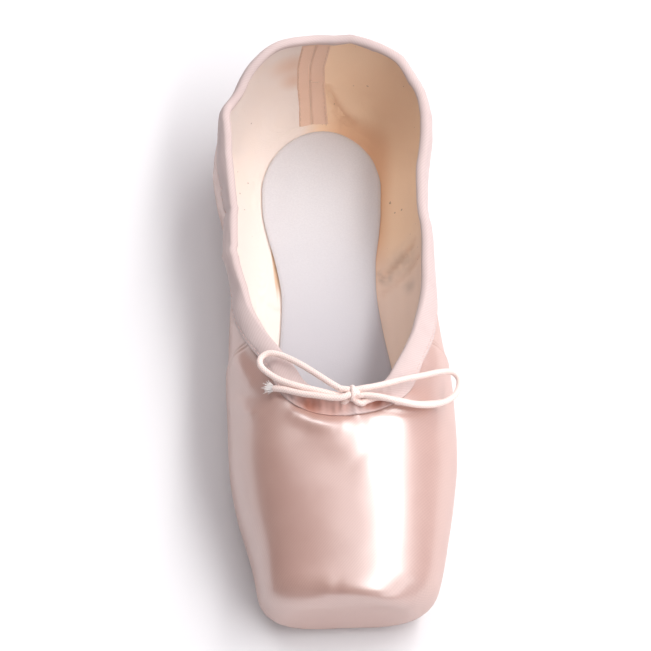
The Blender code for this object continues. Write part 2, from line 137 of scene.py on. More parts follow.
COLLAR = table(
    Outline,
    (67.3, 0, 0.3, 51), (69.2, 9, 0.3, 50.6), (73.4, 14.6, 0.5, 49.2),
    (81, 18.6, 0.9, 46.9), (90, 23, 1.2, 43.7), (100, 27.6, 0.8, 40.8),
    (112, 31.3, 0.3, 38.9), (128, 34, 0, 38.6), (142, 34.6, 0, 39.8),
    (160, 34.8, 0, 43.2), (175, 36.2, 0, 47.5), (187, 36.2, 0, 51.2),
    (197, 31.5, 0.4, 53.8), (205, 23, 0.4, 55.6), (211, 11.5, 0, 56.8),
    (213.5, 0, 0, 57.2),
)
OUTSOLE = table(
    Outline,
    (27, 0), (28.5, 8), (33, 15), (44, 21.5), (60, 24.6),
    (76, 23.2), (96, 19), (116, 16.6), (136, 16.6),
    (158, 19.2), (178, 21.4), (192, 19.2), (201, 13),
    (205, 6.5), (206.5, 0),
)
OPENING = table(
    Outline,
    (40, 0), (41.5, 7), (47, 13), (62, 16.5), (80, 15),
    (100, 11.5), (130, 9.5), (158, 11.5), (178, 13.5),
    (190, 11), (196, 6.5), (198, 0),
)
INSOLE = table(
    Outline,
    (15, 0), (17, 8), (23, 14), (36, 19.5), (54, 22.6),
    (74, 23), (90, 22.2), (104, 20.4), (118, 18.6),
    (132, 17.6), (146, 18.6, -0.3), (158, 20.7, -0.5),
    (170, 22.3, -0.7), (181, 22.6, -0.7), (191, 20.4, -0.6),
    (199, 15.6, -0.4), (204.5, 9, -0.2), (207, 0),
)

# Spokes round the shoe, from the toe by the +X side to the heel: each row adds a number of
# them, up to its centre's station and its azimuth in degrees
FRONT_CENTRE = 84
SPOKES = (
    (128, FRONT_CENTRE, 90), (40, 100, 90), (46, 174, 90), (44, 174, 172), (14, 174, 180),
)
CENTRE_HEIGHT = 21
SATIN_RINGS = 122
LINING_RINGS = 72
PLAIN_RINGS = 10

# The bow's cord, as (x, station, height) points
WRAP_CENTRE = (3.4, 65.4, 55.8)
WRAP_REACH = (0.4, 2, 2.1)
LEFT_LOOP = (
    (-0.5, 66.8, 56.6), (-4.4, 70, 56), (-9.5, 74.9, 54.4), (-14.9, 79.8, 52.6),
    (-20.3, 83.6, 51), (-24.4, 84.8, 50.2), (-27.2, 82.8, 49.8), (-26.6, 79, 50.4),
    (-21.6, 73.8, 52), (-15.2, 70.1, 53.6), (-7.8, 67.3, 54.6), (-0.6, 65, 54.8),
)
RIGHT_LOOP = (
    (7.4, 66.7, 56.8), (12.8, 68, 56), (22.1, 71.6, 53.4), (28.5, 74.1, 50.8),
    (34.5, 76.4, 48.6), (38.9, 77.2, 47), (41.3, 74.8, 46), (40.5, 70.4, 45.8),
    (37.3, 66.6, 46.8), (31.9, 63.8, 48.8), (25.7, 62.3, 51.8), (18.9, 62.5, 54.8),
    (12.7, 63.8, 55.8), (7.5, 64.9, 55.3),
)
LEFT_END = (
    (6, 65, 56.4), (3.4, 64.6, 56.8), (1, 63.7, 56.9), (-0.9, 63.3, 56.7), (-4.2, 63.8, 56.2),
    (-8.2, 65, 55.5), (-14, 67, 53.8), (-19.6, 69.8, 51.6), (-23.2, 71.4, 49.7),
)
RIGHT_END = (
    (6.6, 62.6, 53.6), (9.4, 64, 53.3), (12.8, 64.9, 53), (19.1, 64.4, 51.5),
    (25.9, 64.4, 48.4), (32.1, 66.4, 44.6), (34.8, 67.8, 42.6),
)
KNOT_STRANDS = (
    ((-0.9, 67, 56.5), (1.4, 66.5, 56.7), (3.4, 66.2, 56.6), (5.6, 66.4, 56.7), (7.8, 66.8, 56.8)),
    ((-1, 65.1, 54.8), (1.2, 65, 55), (3.4, 65, 55.1), (5.6, 64.9, 55.2), (7.9, 64.9, 55.3)),
    ((3.6, 64.6, 54.2), (5, 63.2, 53.8), (6.6, 62.6, 53.6), (7.6, 62.9, 53.5)),
    ((2.6, 65, 54.2), (1.6, 64.2, 53.2), (0.6, 63.8, 52), (-0.2, 63.6, 50.8)),
    ((4.4, 65, 54.2), (5.2, 64.3, 53.2), (6.2, 63.9, 52), (7, 63.8, 50.8)),
)

# Soft ridges (height above 0) and troughs (below 0) laid on the cloth
Fold = namedtuple("Fold", "route width height")
COLLAR_PRESS = table(
    Fold,
    (((-14, 66, 50.5), (-9, 63.2, 51.4), (-4, 61.8, 51.8), (0.5, 62, 52)), 2.8, -1.8),
    (((5.8, 63.6, 52), (10, 63.8, 51.6), (14.2, 64.8, 51)), 2.4, -1.6),
    (((-1, 60.6, 51), (0.4, 63, 51.2), (1, 66, 51.2)), 1.2, 0.5),
    (((4.4, 60.4, 51), (4.2, 63, 51.2), (4, 66, 51.2)), 1.1, 0.6),
    (((-37.6, 187, 51.5), (-38.1, 181, 49)), 4.2, 0.9),
    (((-36, 193, 53), (-34.4, 196.6, 53.6)), 2.3, -1.3),
    (((-38.2, 173, 45), (-38, 168, 43)), 3.6, 0.5),
    (((-37.6, 162, 40.5), (-37.2, 158, 39.5)), 3.4, -0.6),
    (((-36.6, 153, 38), (-36.4, 149, 36.6)), 5, -2.2),
    (((-36.6, 136, 36), (-36.4, 131, 35.6)), 5.4, 1.9),
    (((-36, 120, 35.4), (-35.6, 116, 35.6)), 4.4, -1),
    (((-34, 112, 36.6), (-33.4, 107, 37.2)), 4, 0.5),
    (((2, 214.6, 55), (6, 214.2, 55)), 2.6, -0.5),
    (((9, 213, 56), (12, 212, 56)), 2.4, 0.8),
    (((17, 209.5, 55.6), (20, 207.8, 55.2)), 2.4, -0.7),
    (((26, 204, 54.4), (28, 202, 54)), 2.6, 0.7),
    (((32, 197.6, 53), (33.5, 195, 52.4)), 2.6, -0.6),
    (((36.4, 186, 48), (36.6, 180, 46.5)), 4, 0.5),
    (((36, 168, 42), (35.8, 162, 41)), 4, -0.5),
    (((35.8, 146, 37), (35.6, 140, 36.5)), 4, 0.5),
)
SATIN_FOLDS = table(
    Fold,
    (((-12.5, 60, 49.8), (-6, 55.2, 50.2), (1, 50.2, 49.8), (7, 44, 48.4)), 7, 1.1),
    (((-6, 3, 33), (3, 2.4, 32.2), (10, 1.8, 30.4), (16, 1.4, 27.5), (21, 1.4, 23.5)), 4, 1.5),
    (((-38.8, 174, 35), (-38.8, 164, 31), (-38, 152, 28)), 6, 1.3),
    (((-37.8, 148, 30), (-37.6, 141, 29.4), (-37, 134, 28.6), (-37, 127, 28.4)), 5.2, -0.7),
    (((-33.4, 98.2, 36), (-31.6, 90.8, 38.6), (-29.4, 84.6, 41.2), (-27.2, 79.6, 42.8)),
     2.4, -0.35),
    (((-36.9, 99.5, 30), (-36.2, 92, 33.4), (-33.6, 84.6, 37.4), (-31.2, 79.6, 40)), 2.6, 0.35),
    (((-37.6, 84, 30), (-34.6, 77.2, 36.4), (-30, 72.6, 41.4), (-26, 70.6, 44.4)), 2.2, -0.35),
    (((-36, 72, 35.6), (-32.4, 67.6, 39.6), (-28.4, 65.6, 43)), 2.4, 0.5),
    (((-16, 61.8, 49), (-9.8, 57.6, 49.8), (-4, 56.2, 50.2), (-1, 56, 50.4)), 2.8, 0.6),
    (((-14, 60.4, 49.3), (-6, 56.6, 50.1), (3.6, 55.8, 50.6), (9, 56.4, 50.4)), 3, 0.45),
    (((33, 98, 36.6), (31.8, 90, 38.8), (30, 82, 41.2)), 2.3, -0.45),
    (((36.6, 92, 33), (34.6, 83, 37.6)), 2.4, 0.35),
    (((-37.6, 120, 16), (-37.4, 132, 26), (-37, 140, 32)), 3, 0.45),
    (((-37, 134, 13), (-37.8, 147, 24), (-37.8, 154, 31)), 3.2, -0.5),
    (((-37.6, 150, 14), (-39, 162, 25), (-39.6, 168, 32)), 3.4, 0.4),
    (((36.6, 118, 15), (36.8, 131, 25), (36.4, 139, 31)), 3, -0.45),
    (((36, 132, 13), (36.4, 146, 24), (36.2, 153, 30)), 3.2, 0.45),
    (((36.2, 152, 14), (37, 163, 25)), 3.4, -0.35),
)
LINING_FOLDS = table(
    Fold,
    (((2.4, 215.8, 21), (5.2, 214, 13.5), (8.6, 211.2, 9), (12.8, 208.8, 7)), 1.5, -0.9),
    (((7, 215.2, 23), (10.4, 213, 15), (14, 210.4, 11), (18, 207.6, 10)), 3.8, 1.5),
    (((4.8, 212.8, 9.6), (8, 209.4, 6.2), (11, 205.4, 4.4)), 0.8, -0.7),
    (((19.4, 139.5, 5.8), (24, 143, 6.8), (29.6, 147.6, 11), (33.4, 149.6, 17)), 0.9, -0.7),
    (((21, 143.6, 6), (25, 146.6, 7.6), (30.4, 151.4, 12)), 2.2, 0.8),
    (((19.8, 133, 6.2), (25, 136.4, 8.2), (30, 139.6, 11.8), (33.6, 142, 18)), 0.9, -0.7),
    (((-22.6, 128.6, 6.9), (-18.6, 127.4, 6.4)), 0.6, -0.5),
    (((-30, 196, 24), (-26, 201, 12)), 2.6, 0.5),
    (((30, 186, 14), (31.6, 174, 12), (29.4, 160, 11)), 3, 0.7),
)

# The tape inside the heel: its edges and its seam, by the rise in degrees from TAPE_CENTRE
HeelTape = namedtuple("HeelTape", "rise left seam right")
HEEL_TAPE = table(
    HeelTape,
    (-42.4, -8.4, -3.4, 3.2), (-20, -8.5, -3.9, 2.2), (-5, -9.2, -4.2, 1.7),
    (8, -9.3, -4.4, 1.5), (20, -9.4, -4.5, 1.4), (32, -8.8, -3.6, 2.2),
    (47, -7.8, -2.6, 3.2),
)
HALF_SEAM = 0.2
TAPE_ROWS = 64
TAPE_CENTRE = (186, 24)
TAPE_THICKNESS = (0.02, 0.08, 0.12, 0.12, 0.12, 0.12, 0.12, 0.1, 0.05)


@lru_cache(maxsize=None)
def column(rows, name):
    """The stations, values and slopes of the monotone cubic curve through a table's column."""
    x = np.array([row.station for row in rows], float)
    y = np.array([getattr(row, name) for row in rows], float)
    step = np.diff(x)
    rise = np.diff(y) / step
    slope = np.zeros_like(y)
    slope[0], slope[-1] = rise[0], rise[-1]
    for i in range(1, len(y) - 1):
        if rise[i - 1] * rise[i] > 0:
            near = 2 * step[i] + step[i - 1]
            far = step[i] + 2 * step[i - 1]
            slope[i] = (near + far) / (near / rise[i - 1] + far / rise[i])
    return x, y, slope


def read(rows, at, name):
    """The smooth curve through one column of a table, read at the given stations."""
    x, y, slope = column(rows, name)
    at = np.clip(at, x[0], x[-1])
    i = np.clip(np.searchsorted(x, at, side="right") - 1, 0, len(x) - 2)
    step = x[i + 1] - x[i]
    s = (at - x[i]) / step
    ends = (1 + 2 * s) * (1 - s) ** 2 * y[i] + s * s * (3 - 2 * s) * y[i + 1]
    return ends + step * (s * (1 - s) ** 2 * slope[i] + s * s * (s - 1) * slope[i + 1])


def ease(value, low, high):
    """A smooth step from 0 at low to 1 at high."""
    s = np.clip((value - low) / (high - low), 0, 1)
    return s * s * (3 - 2 * s)


def bell(offset, width):
    """A soft bump: 1 in the middle, fading over a width."""
    return np.exp(-((offset / width) ** 2))


def unit(vectors):
    """Vectors at a length of 1."""
    return vectors / np.linalg.norm(vectors, axis=-1, keepdims=True)


def points_at(x, station, height):
    """Points from their coordinates, spread to one shape."""
    return np.stack(np.broadcast_arrays(x, station, height), axis=-1)


def walked_along(route):
    """Distance walked along a route to each of its points."""
    return np.concatenate([[0], np.cumsum(np.linalg.norm(np.diff(route, axis=0), axis=1))])


def read_along(stops, walked, values):
    """Values at each stop along a walked route."""
    return np.stack([np.interp(stops, walked, line) for line in values.T], axis=-1)


def moved_off(points, normals, height):
    """Points moved along their normals."""
    return points + normals * height[..., None]


def halve(within, near, far, times=15):
    """Closes in on the distances where within stops being true."""
    for _ in range(times):
        middle = (near + far) / 2
        inside = within(middle)
        near, far = np.where(inside, middle, near), np.where(inside, far, middle)
    return near, far


def superellipse(ratio, power):
    """Height on a unit superellipse at a distance from its middle."""
    return np.clip(1 - np.clip(ratio, 0, 1) ** power, 0, 1) ** (1 / power)


def heel_back(height):
    """Station of the heel's back edge: tucked under at the sole and leaning in at the collar."""
    tuck = 9 * np.clip((HEEL_BULGE - height) / 20, 0, 1) ** 2
    lean = 4.6 * np.clip((height - HEEL_BULGE) / 36, 0, None) ** 2
    return SHOE_LENGTH - tuck - lean


def last_half_width(side, station, height):
    """Half width of the last on one side, or -1 where the last has ended."""
    width, base, widest, top, side_power, crown_power = (
        read(SECTIONS, station, name) for name in Section._fields[1:]
    )
    under = read(UNDERSIDE, station, "height")
    rounding = TOE_EDGE * (1 - np.sqrt(1 - np.clip(1 - station / TOE_EDGE, 0, 1) ** 2))
    width, base = width - rounding, base - rounding * 0.5
    top, under = top - rounding * 0.9, under + rounding * 0.45
    low = (widest - height) / (widest - under)
    high = (height - widest) / (top - widest)
    side_curve = base + (width - base) * superellipse(low, side_power)
    half = np.where(height < widest, side_curve, width * superellipse(high, crown_power))
    turn = SHOE_LENGTH - HEEL_TURN
    behind = np.clip((station - turn) / (heel_back(height) - turn), 0, None)
    half = half * superellipse(behind, HEEL_POWER)
    slack = np.where(side > 0, read(SLACK, station, "right"), read(SLACK, station, "left"))
    drawn_in = np.where(slack > 0, ease(height, 30, 50), 0)
    half = half + slack * ease(height, 6, 26) * (1 - drawn_in) * np.clip(half / width, 0, 1)
    return np.where((low >= 1) | (high >= 1) | (station < 0) | (behind >= 1), -1, half)


def inside_last(points):
    """Whether each (x, station, height) point is inside the last."""
    x, station, height = np.moveaxis(points, -1, 0)
    offset = x - read(SLACK, station, "drift")
    return np.abs(offset) < last_half_width(offset, station, height)


def cast_to_last(start, way, reach=120, stride=3):
    """Where each ray from inside the last meets its skin."""
    shape, start, way = way.shape, start.reshape(-1, 3), way.reshape(-1, 3)

    def within(distance, rays=slice(None)):
        return inside_last(start[rays] + way[rays] * distance[:, None])

    near = np.zeros(len(start))
    going = np.arange(len(start))
    while len(going) and near.max() < reach:
        going = going[within(near[going] + stride, going)]
        near[going] += stride
    near, far = halve(within, near, near + stride)
    return moved_off(start, way, (near + far) / 2).reshape(shape)


def outline_radius(rows, skin, reach=140, times=34):
    """Distance in plan from each spoke's centre to a closed outline."""

    def within(distance):
        station = skin.stations - distance * skin.forward
        half = read(rows, station, "square")
        across = np.abs(distance * skin.across)
        inside = across <= np.sqrt(np.maximum(half, 0))
        return inside & (rows[0].station <= station) & (station <= rows[-1].station)

    near = np.zeros(len(skin.stations))
    return halve(within, near, near + reach, times)[0]


def surface_normals(grid):
    """Outward unit normals of a grid of spokes by rings."""
    round_shoe = np.roll(grid, -1, axis=0) - np.roll(grid, 1, axis=0)
    return unit(np.cross(round_shoe, np.gradient(grid, axis=1)))


class Skin:
    """The last's skin, read along spokes from the collar's edge to the opening under the foot."""

    def __init__(self, fine=150):
        half = np.array([[FRONT_CENTRE, 0]])
        for count, station, azimuth in SPOKES:
            way = (station, math.radians(azimuth)) - half[-1]
            steps = np.arange(1, count + 1)[:, None]
            half = np.vstack([half, half[-1] + way * steps / count])
        self.stations, self.azimuths = np.vstack([half, half[-2:0:-1] * (1, -1)]).T
        self.forward, self.across = np.cos(self.azimuths), np.sin(self.azimuths)
        collar, opening = outline_radius(COLLAR, self), outline_radius(OPENING, self)
        collar_station = self.stations - collar * self.forward
        collar = collar + read(COLLAR, collar_station, "drift") * self.across
        opening_station = self.stations - opening * self.forward
        centre = 14 + np.where(self.forward > 0, 32, 8) * np.abs(self.forward)
        first, last = (
            np.arctan2(height - CENTRE_HEIGHT, radius - centre)
            for height, radius in (
                (read(UNDERSIDE, opening_station, "height"), opening),
                (read(COLLAR, collar_station, "height"), collar),
            )
        )
        last = np.where(last < first, last + 2 * math.pi, last)
        turn = last[:, None] + (first - last)[:, None] * np.linspace(0, 1, fine)
        level = np.cos(turn)
        way = points_at(level * self.across[:, None], -level * self.forward[:, None], np.sin(turn))
        station = self.stations - centre * self.forward
        start = points_at(
            centre * self.across + read(SLACK, station, "drift"), station, CENTRE_HEIGHT
        )
        self.profile = cast_to_last(np.repeat(start[:, None], fine, axis=1), way)
        self.walked = np.array([walked_along(spoke) for spoke in self.profile])
        self.normals = -surface_normals(self.profile)

    def at(self, drops):
        """Points and normals at each spoke's distances down from the collar's edge."""
        points, normals = (
            np.array([read_along(*spoke) for spoke in zip(drops, self.walked, values)])
            for values in (self.profile, self.normals)
        )
        return points, unit(normals)

    def rings(self, count):
        """Distances down from the collar's edge, in equal steps to the opening."""
        return self.walked[:, -1:] * np.linspace(0, 1, count)


def folded(points, folds):
    """Height of the cloth at each point, from the soft ridges and troughs given."""
    height = np.zeros(points.shape[:-1])
    for fold in folds:
        route = np.array(fold.route)
        passed = walked_along(route)
        nearest = np.full(height.shape, np.inf)
        along = np.zeros(height.shape)
        for start, step, before, after in zip(route, np.diff(route, axis=0), passed, passed[1:]):
            part = np.clip((points - start) @ step / (after - before) ** 2, 0, 1)
            gap = np.linalg.norm(points - start - part[..., None] * step, axis=-1)
            closer = gap < nearest
            nearest = np.where(closer, gap, nearest)
            reached = (before + part * (after - before)) / passed[-1]
            along = np.where(closer, reached, along)
        taper = np.sin(math.pi * np.clip(along, 0.08, 0.92)) ** 0.5
        height += fold.height * bell(nearest, fold.width) * taper
    return height


def gathers(points, drop):
    """Small uneven puckers where the drawstring gathers the casing at the throat."""
    x, station = points[..., 0], points[..., 1]
    near = (1 - ease(np.abs(x - 1), 12, 26)) * (1 - ease(station, 68, 82))
    fade = ease(drop, 0.5, 2.5) * (1 - ease(drop, 6, 9))
    ripple = np.sin(x * 1.55 + 0.9 * np.sin(x * 0.37)) + 0.6 * np.sin(x * 2.7 + 1.3)
    return 0.14 * ripple * near * fade


def collar_sway(points, drop):
    """What moves every layer at the collar together: the gathers and the waves of its edge."""
    fade = 1 - ease(drop, 9, 20)
    loose = 0.3 * soft_noise(points, 17, 4) * ease(points[..., 1], 84, 110)
    return (folded(points, COLLAR_PRESS) + loose) * fade + gathers(points, drop)


def soft_noise(points, reach, seed):
    """A gentle unevenness with the given wavelength, between about -1 and 1."""
    turns = np.array([[0.9, 0.5, 0.7], [-0.6, 0.8, 0.5], [0.4, -0.7, 0.9], [0.8, 0.6, -0.8]])
    phases = points @ (turns.T * (2 * math.pi / reach)) + np.arange(4) * 1.7 + seed
    return np.sin(phases).sum(axis=-1) / 4


def side_seams(points):
    """The vamp laps over the quarters: a small step with a stitched groove in front of it."""
    ahead = 88 + 8.5 * ease(points[..., 2], 4, 46) - points[..., 1]
    lap = 0.5 * ease(ahead, -0.5, 0.5) * np.exp(-np.clip(ahead, 0, None) / 22)
    groove = 0.28 * bell(ahead - 1.6, 0.45) + 0.35 * bell(ahead + 0.5, 0.4)
    return (lap - groove) * ease(np.abs(points[..., 0]), 14, 24)


def back_seam(points, normals):
    """The seam down the back of the heel: a fine groove between two soft welts."""
    middle = points[..., 0] - read(SLACK, points[..., 1], "drift")
    welts = 0.22 * bell(np.abs(middle) - 1, 0.8)
    return (welts - 0.4 * bell(middle, 0.38)) * ease(normals[..., 1], 0.5, 0.8)


def toe_pleats(points, skin):
    """Pleats drawn in under the toe towards the sole's edge, each one leaning on the next."""
    sole_edge = outline_radius(OUTSOLE, skin)[:, None]
    reach = np.hypot(points[..., 0], points[..., 1] - skin.stations[:, None])
    forward, azimuths = skin.forward[:, None], skin.azimuths[:, None]
    lift = (1 - ease(points[..., 2], 5, 14)) * ease(points[..., 1], 2, 10)
    toe = ease(reach, sole_edge - 1, sole_edge + 7) * ease(forward, 0.1, 0.35)
    phase = azimuths / math.pi * PLEATS + 0.35 * np.sin(reach * 0.16)
    part = phase - np.floor(phase)
    ridge = np.where(part < PLEAT_LEAN, part / PLEAT_LEAN, (1 - part) / (1 - PLEAT_LEAN))
    heel = ease(reach, sole_edge - 1, sole_edge + 4) * ease(-forward, 0.2, 0.6)
    return lift * (0.95 * toe * ease(ridge, 0, 1) + 0.16 * heel * np.sin(azimuths * 38))


def to_scene(points):
    """Places in the scene, in metres, of (x, station, height) points in millimetres."""
    placed = np.array(points, float)
    placed[..., 1] -= SHOE_LENGTH / 2
    return placed * MM


def grid_faces(spokes, rings, close_rings):
    """Corners of the quads of a grid that is closed round the shoe."""
    i, j = np.meshgrid(
        np.arange(spokes), np.arange(rings if close_rings else rings - 1), indexing="ij"
    )
    k, m = (i + 1) % spokes, (j + 1) % rings
    corners = np.stack([i * rings + j, k * rings + j, k * rings + m, i * rings + m], axis=-1)
    spans = np.stack([[i, j], [i + 1, j], [i + 1, j + 1], [i, j + 1]]).transpose(2, 3, 0, 1)
    return corners.reshape(-1, 4), spans.reshape(-1, 4, 2)


def build_mesh(name, places, faces, corner_uvs=None, hollow=None):
    """A smooth mesh object from places in metres, with its faces pointing out."""
    mesh = bpy.data.meshes.new(name)
    mesh.from_pydata([tuple(place) for place in places], [], [tuple(face) for face in faces])
    if corner_uvs is not None:
        layer = mesh.uv_layers.new(name="cloth")
        layer.data.foreach_set("uv", np.asarray(corner_uvs, np.float32).ravel())
    if hollow is not None:
        mesh.attributes.new("hollow", "FLOAT", "POINT").data.foreach_set("value", hollow.ravel())
    shape = bmesh.new()
    shape.from_mesh(mesh)
    bmesh.ops.remove_doubles(shape, verts=shape.verts, dist=1e-7)
    bmesh.ops.recalc_face_normals(shape, faces=shape.faces)
    shape.to_mesh(mesh)
    shape.free()
    mesh.shade_smooth()
    piece = bpy.data.objects.new(name, mesh)
    bpy.context.scene.collection.objects.link(piece)
    return piece


def grid_mesh(name, grid, close_rings=False, lengths=None, hollows=()):
    """A mesh of a grid of spokes by rings; lengths gives each ring's place across the cloth.

    The hollows are troughs; the finish paints shade into them from the mesh's hollow layer.
    """
    spokes, rings = grid.shape[:2]
    faces, spans = grid_faces(spokes, rings, close_rings)
    uvs = None
    if lengths is not None:
        middle = grid[:, rings // 4]
        round_shoe = walked_along(np.vstack([middle, middle[:1]]))
        across = np.append(lengths, lengths[-1])
        uvs = np.stack([round_shoe[spans[..., 0]], across[spans[..., 1]]], axis=-1) * MM
    hollow = np.clip(-folded(grid, hollows), 0, 1)
    return build_mesh(name, to_scene(grid).reshape(-1, 3), faces, uvs, hollow)


def patch_mesh(name, front, back):
    """A thin closed patch of cloth between two grids of rows by columns."""
    rows, columns = front.shape[:2]
    around = 2 * columns
    faces = []
    for start in range(0, (rows - 1) * around, around):
        for j in range(around):
            k = (j + 1) % around
            faces.append((start + j, start + k, start + around + k, start + around + j))
    for start in (0, (rows - 1) * around):
        for j in range(columns - 1):
            far = start + around - j - 1
            faces.append((start + j, start + j + 1, far - 1, far))
    places = np.concatenate([front, back[:, ::-1]], axis=1)
    return build_mesh(name, to_scene(places).reshape(-1, 3), faces)


def smooth_route(points, spacing, steps=24):
    """Points at an even spacing along a smooth curve through the route's own points."""
    route = [Vector(point) for point in points]
    route = [route[0] * 2 - route[1]] + route + [route[-1] * 2 - route[-2]]
    fine = []
    for a, b, c, d in zip(route, route[1:], route[2:], route[3:]):
        for s in np.arange(steps) / steps:
            curve = 2 * b + (c - a) * s + (2 * a - 5 * b + 4 * c - d) * s ** 2
            fine.append((curve + (3 * b - a - 3 * c + d) * s ** 3) / 2)
    fine = np.array(fine + [route[-2]])
    walked = walked_along(fine)
    stops = np.linspace(0, walked[-1], max(3, round(walked[-1] / spacing)) + 1)
    return read_along(stops, walked, fine)


def tube_frames(route):
    """Two directions across a route at each of its points, turning as little as they can."""
    along = unit(np.gradient(route, axis=0))
    across = np.empty_like(route)
    guide = np.array([0.0, 0.0, 1.0] if abs(along[0, 2]) < 0.8 else [1.0, 0.0, 0.0])
    for i, way in enumerate(along):
        across[i] = guide = unit(guide - way * (guide @ way))
    return across, np.cross(along, across)


class Bundle:
    """Round tubes gathered into one mesh."""

    def __init__(self):
        self.places, self.faces, self.uvs, self.count = [], [], [], 0

    def add(self, route, radii, sides=6, relief=None, closed=False):
        """Adds a tube; relief gives extra height at each turn and distance along it."""
        across, beside = tube_frames(route)
        turn = np.arange(sides) * 2 * math.pi / sides
        walked = walked_along(route)
        rings = len(route)
        radius = np.broadcast_to(radii, rings)[:, None] * np.ones(sides)
        if relief:
            radius = radius + relief(turn, walked[:, None])
        turn = turn[:, None]
        rim = across[:, None] * np.cos(turn) + beside[:, None] * np.sin(turn)
        self.places.append(moved_off(route[:, None], rim, radius).reshape(-1, 3))
        for i in range(rings if closed else rings - 1):
            near, far = (self.count + ring % rings * sides for ring in (i, i + 1))
            low, high = walked[i], walked[min(i + 1, rings - 1)]
            for j in range(sides):
                k = (j + 1) % sides
                self.faces.append((near + j, near + k, far + k, far + j))
                for turns, length in ((j, low), (j + 1, low), (j + 1, high), (j, high)):
                    self.uvs.append((turns / sides * CORD_ROUND * MM, length * MM))
        if not closed:
            for end in (0, rings - 1):
                self.faces.append(tuple(self.count + end * sides + j for j in range(sides)))
                self.uvs += [(0, 0)] * sides
        self.count += rings * sides

    def make(self, name):
        """The mesh object of all the tubes."""
        return build_mesh(name, to_scene(np.concatenate(self.places)), self.faces, self.uvs)


def add_stitch(bundle, start, end, radius, lift):
    """One stitch: a short thread that rises out of the cloth and goes back in."""
    part = np.array([0, 0.12, 0.5, 0.88, 1])[:, None]
    rise = np.array([-0.6, 0.35, 0.7, 0.35, -0.6])[:, None] * radius
    route = np.asarray(start) * (1 - part) + np.asarray(end) * part + np.asarray(lift) * rise
    bundle.add(route, radius * np.array([0.7, 1, 1, 1, 0.7]))


def dress(piece, material):
    """Gives a piece its finish and its place on the body."""
    piece.data.materials.append(material)
    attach(piece, "root")
    return piece


@lru_cache(maxsize=1)
def shoe_skin():
    """The last's skin, cast once for every piece that lies on it."""
    return Skin()


def wall_at(points):
    """Thickness of the upper's wall at each point."""
    return read(WALL, points[..., 1], "thickness")


def with_plain_back(front, skin, depth):
    """A cloth's face with a plain back to it, at a share of the wall's depth."""
    drops = skin.rings(PLAIN_RINGS)
    back, normals = skin.at(drops)
    back = moved_off(back, normals, collar_sway(back, drops) - depth * wall_at(back))
    return np.concatenate([front, back[:, ::-1]], axis=1)


def satin_grid(skin, unevenness):
    """The satin's outer face with its folds, seams and pleats, and the plain back of it."""
    drops = skin.rings(SATIN_RINGS)
    points, normals = skin.at(drops)
    below = ease(drops, 5, 10)
    soft = ease(points[..., 1], 84, 108)
    wave = soft_noise(points, 31, 0.4) * (0.25 + 0.75 * soft)
    wave = wave + 0.35 * soft_noise(points, 12, 2) * (0.2 + 0.8 * soft)
    height = (folded(points, SATIN_FOLDS) + wave * unevenness * ease(points[..., 2], 4, 12)) * below
    height += side_seams(points) + back_seam(points, normals)
    height += toe_pleats(points, skin) + collar_sway(points, drops)
    return with_plain_back(moved_off(points, normals, height), skin, 0.45)


def lining_rise(points, drop):
    """How far the lining stands off the wall, with its creases."""
    loose = 0.14 * soft_noise(points, 24, 1.1) * ease(drop, 2, 8)
    return folded(points, LINING_FOLDS) + loose


def lining_grid(skin):
    """The lining's inner face with its creases, and the plain back of it."""
    drops = skin.rings(LINING_RINGS)
    points, normals = skin.at(drops)
    inner = moved_off(points, normals, -wall_at(points))
    rise = collar_sway(points, drops) - lining_rise(inner, drops)
    return with_plain_back(moved_off(inner, normals, rise), skin, 0.55)


def binding_grid(skin, puff):
    """The binding as a loop round its own section: outer leg, crest, inner leg and hollow."""

    def face(drops, stand_off):
        drops = np.tile(drops, (len(skin.stations), 1))
        points, normals = skin.at(drops)
        return moved_off(points, normals, collar_sway(points, drops) + stand_off(points))

    proud = SEAT_GAP + BINDING_THICKNESS
    outer = np.concatenate([[8.1, 8, 7.8], np.linspace(7.4, 0, 16)])
    swell = puff * np.sin(math.pi * np.clip(outer / BINDING_DEPTH, 0, 1)) ** 0.7
    seam = -0.22 * bell(outer - 7, 0.35) - np.where(outer > BINDING_DEPTH, 0.45, 0)
    turns = np.linspace(0, math.pi, 9)[1:-1]
    upward = unit(skin.profile[:, :1] - skin.profile[:, 2:3])
    inner = np.array([0, 0.5, 1, 1.4, BINDING_INNER_DEPTH])
    hem = np.where(inner > 1.5, 0.3, 0)
    grid = np.concatenate([
        face(outer, lambda cloth: proud + swell + seam + 0.1 * soft_noise(cloth, 9, 3)),
        face(np.zeros(len(turns)), lambda top: (
            (wall_at(top) / 2 + proud) * np.cos(turns) - wall_at(top) / 2
        )) + upward * (CREST_RISE * np.sin(turns))[:, None],
        face(inner, lambda cloth: hem - wall_at(cloth) - proud),
        face(inner[::-2], lambda cloth: -wall_at(cloth) - SEAT_GAP),
        face([0.4, 2, 4, 6, 7.6], lambda cloth: SEAT_GAP),
    ], axis=1)
    return grid, walked_along(grid[MEASURED_SPOKE])


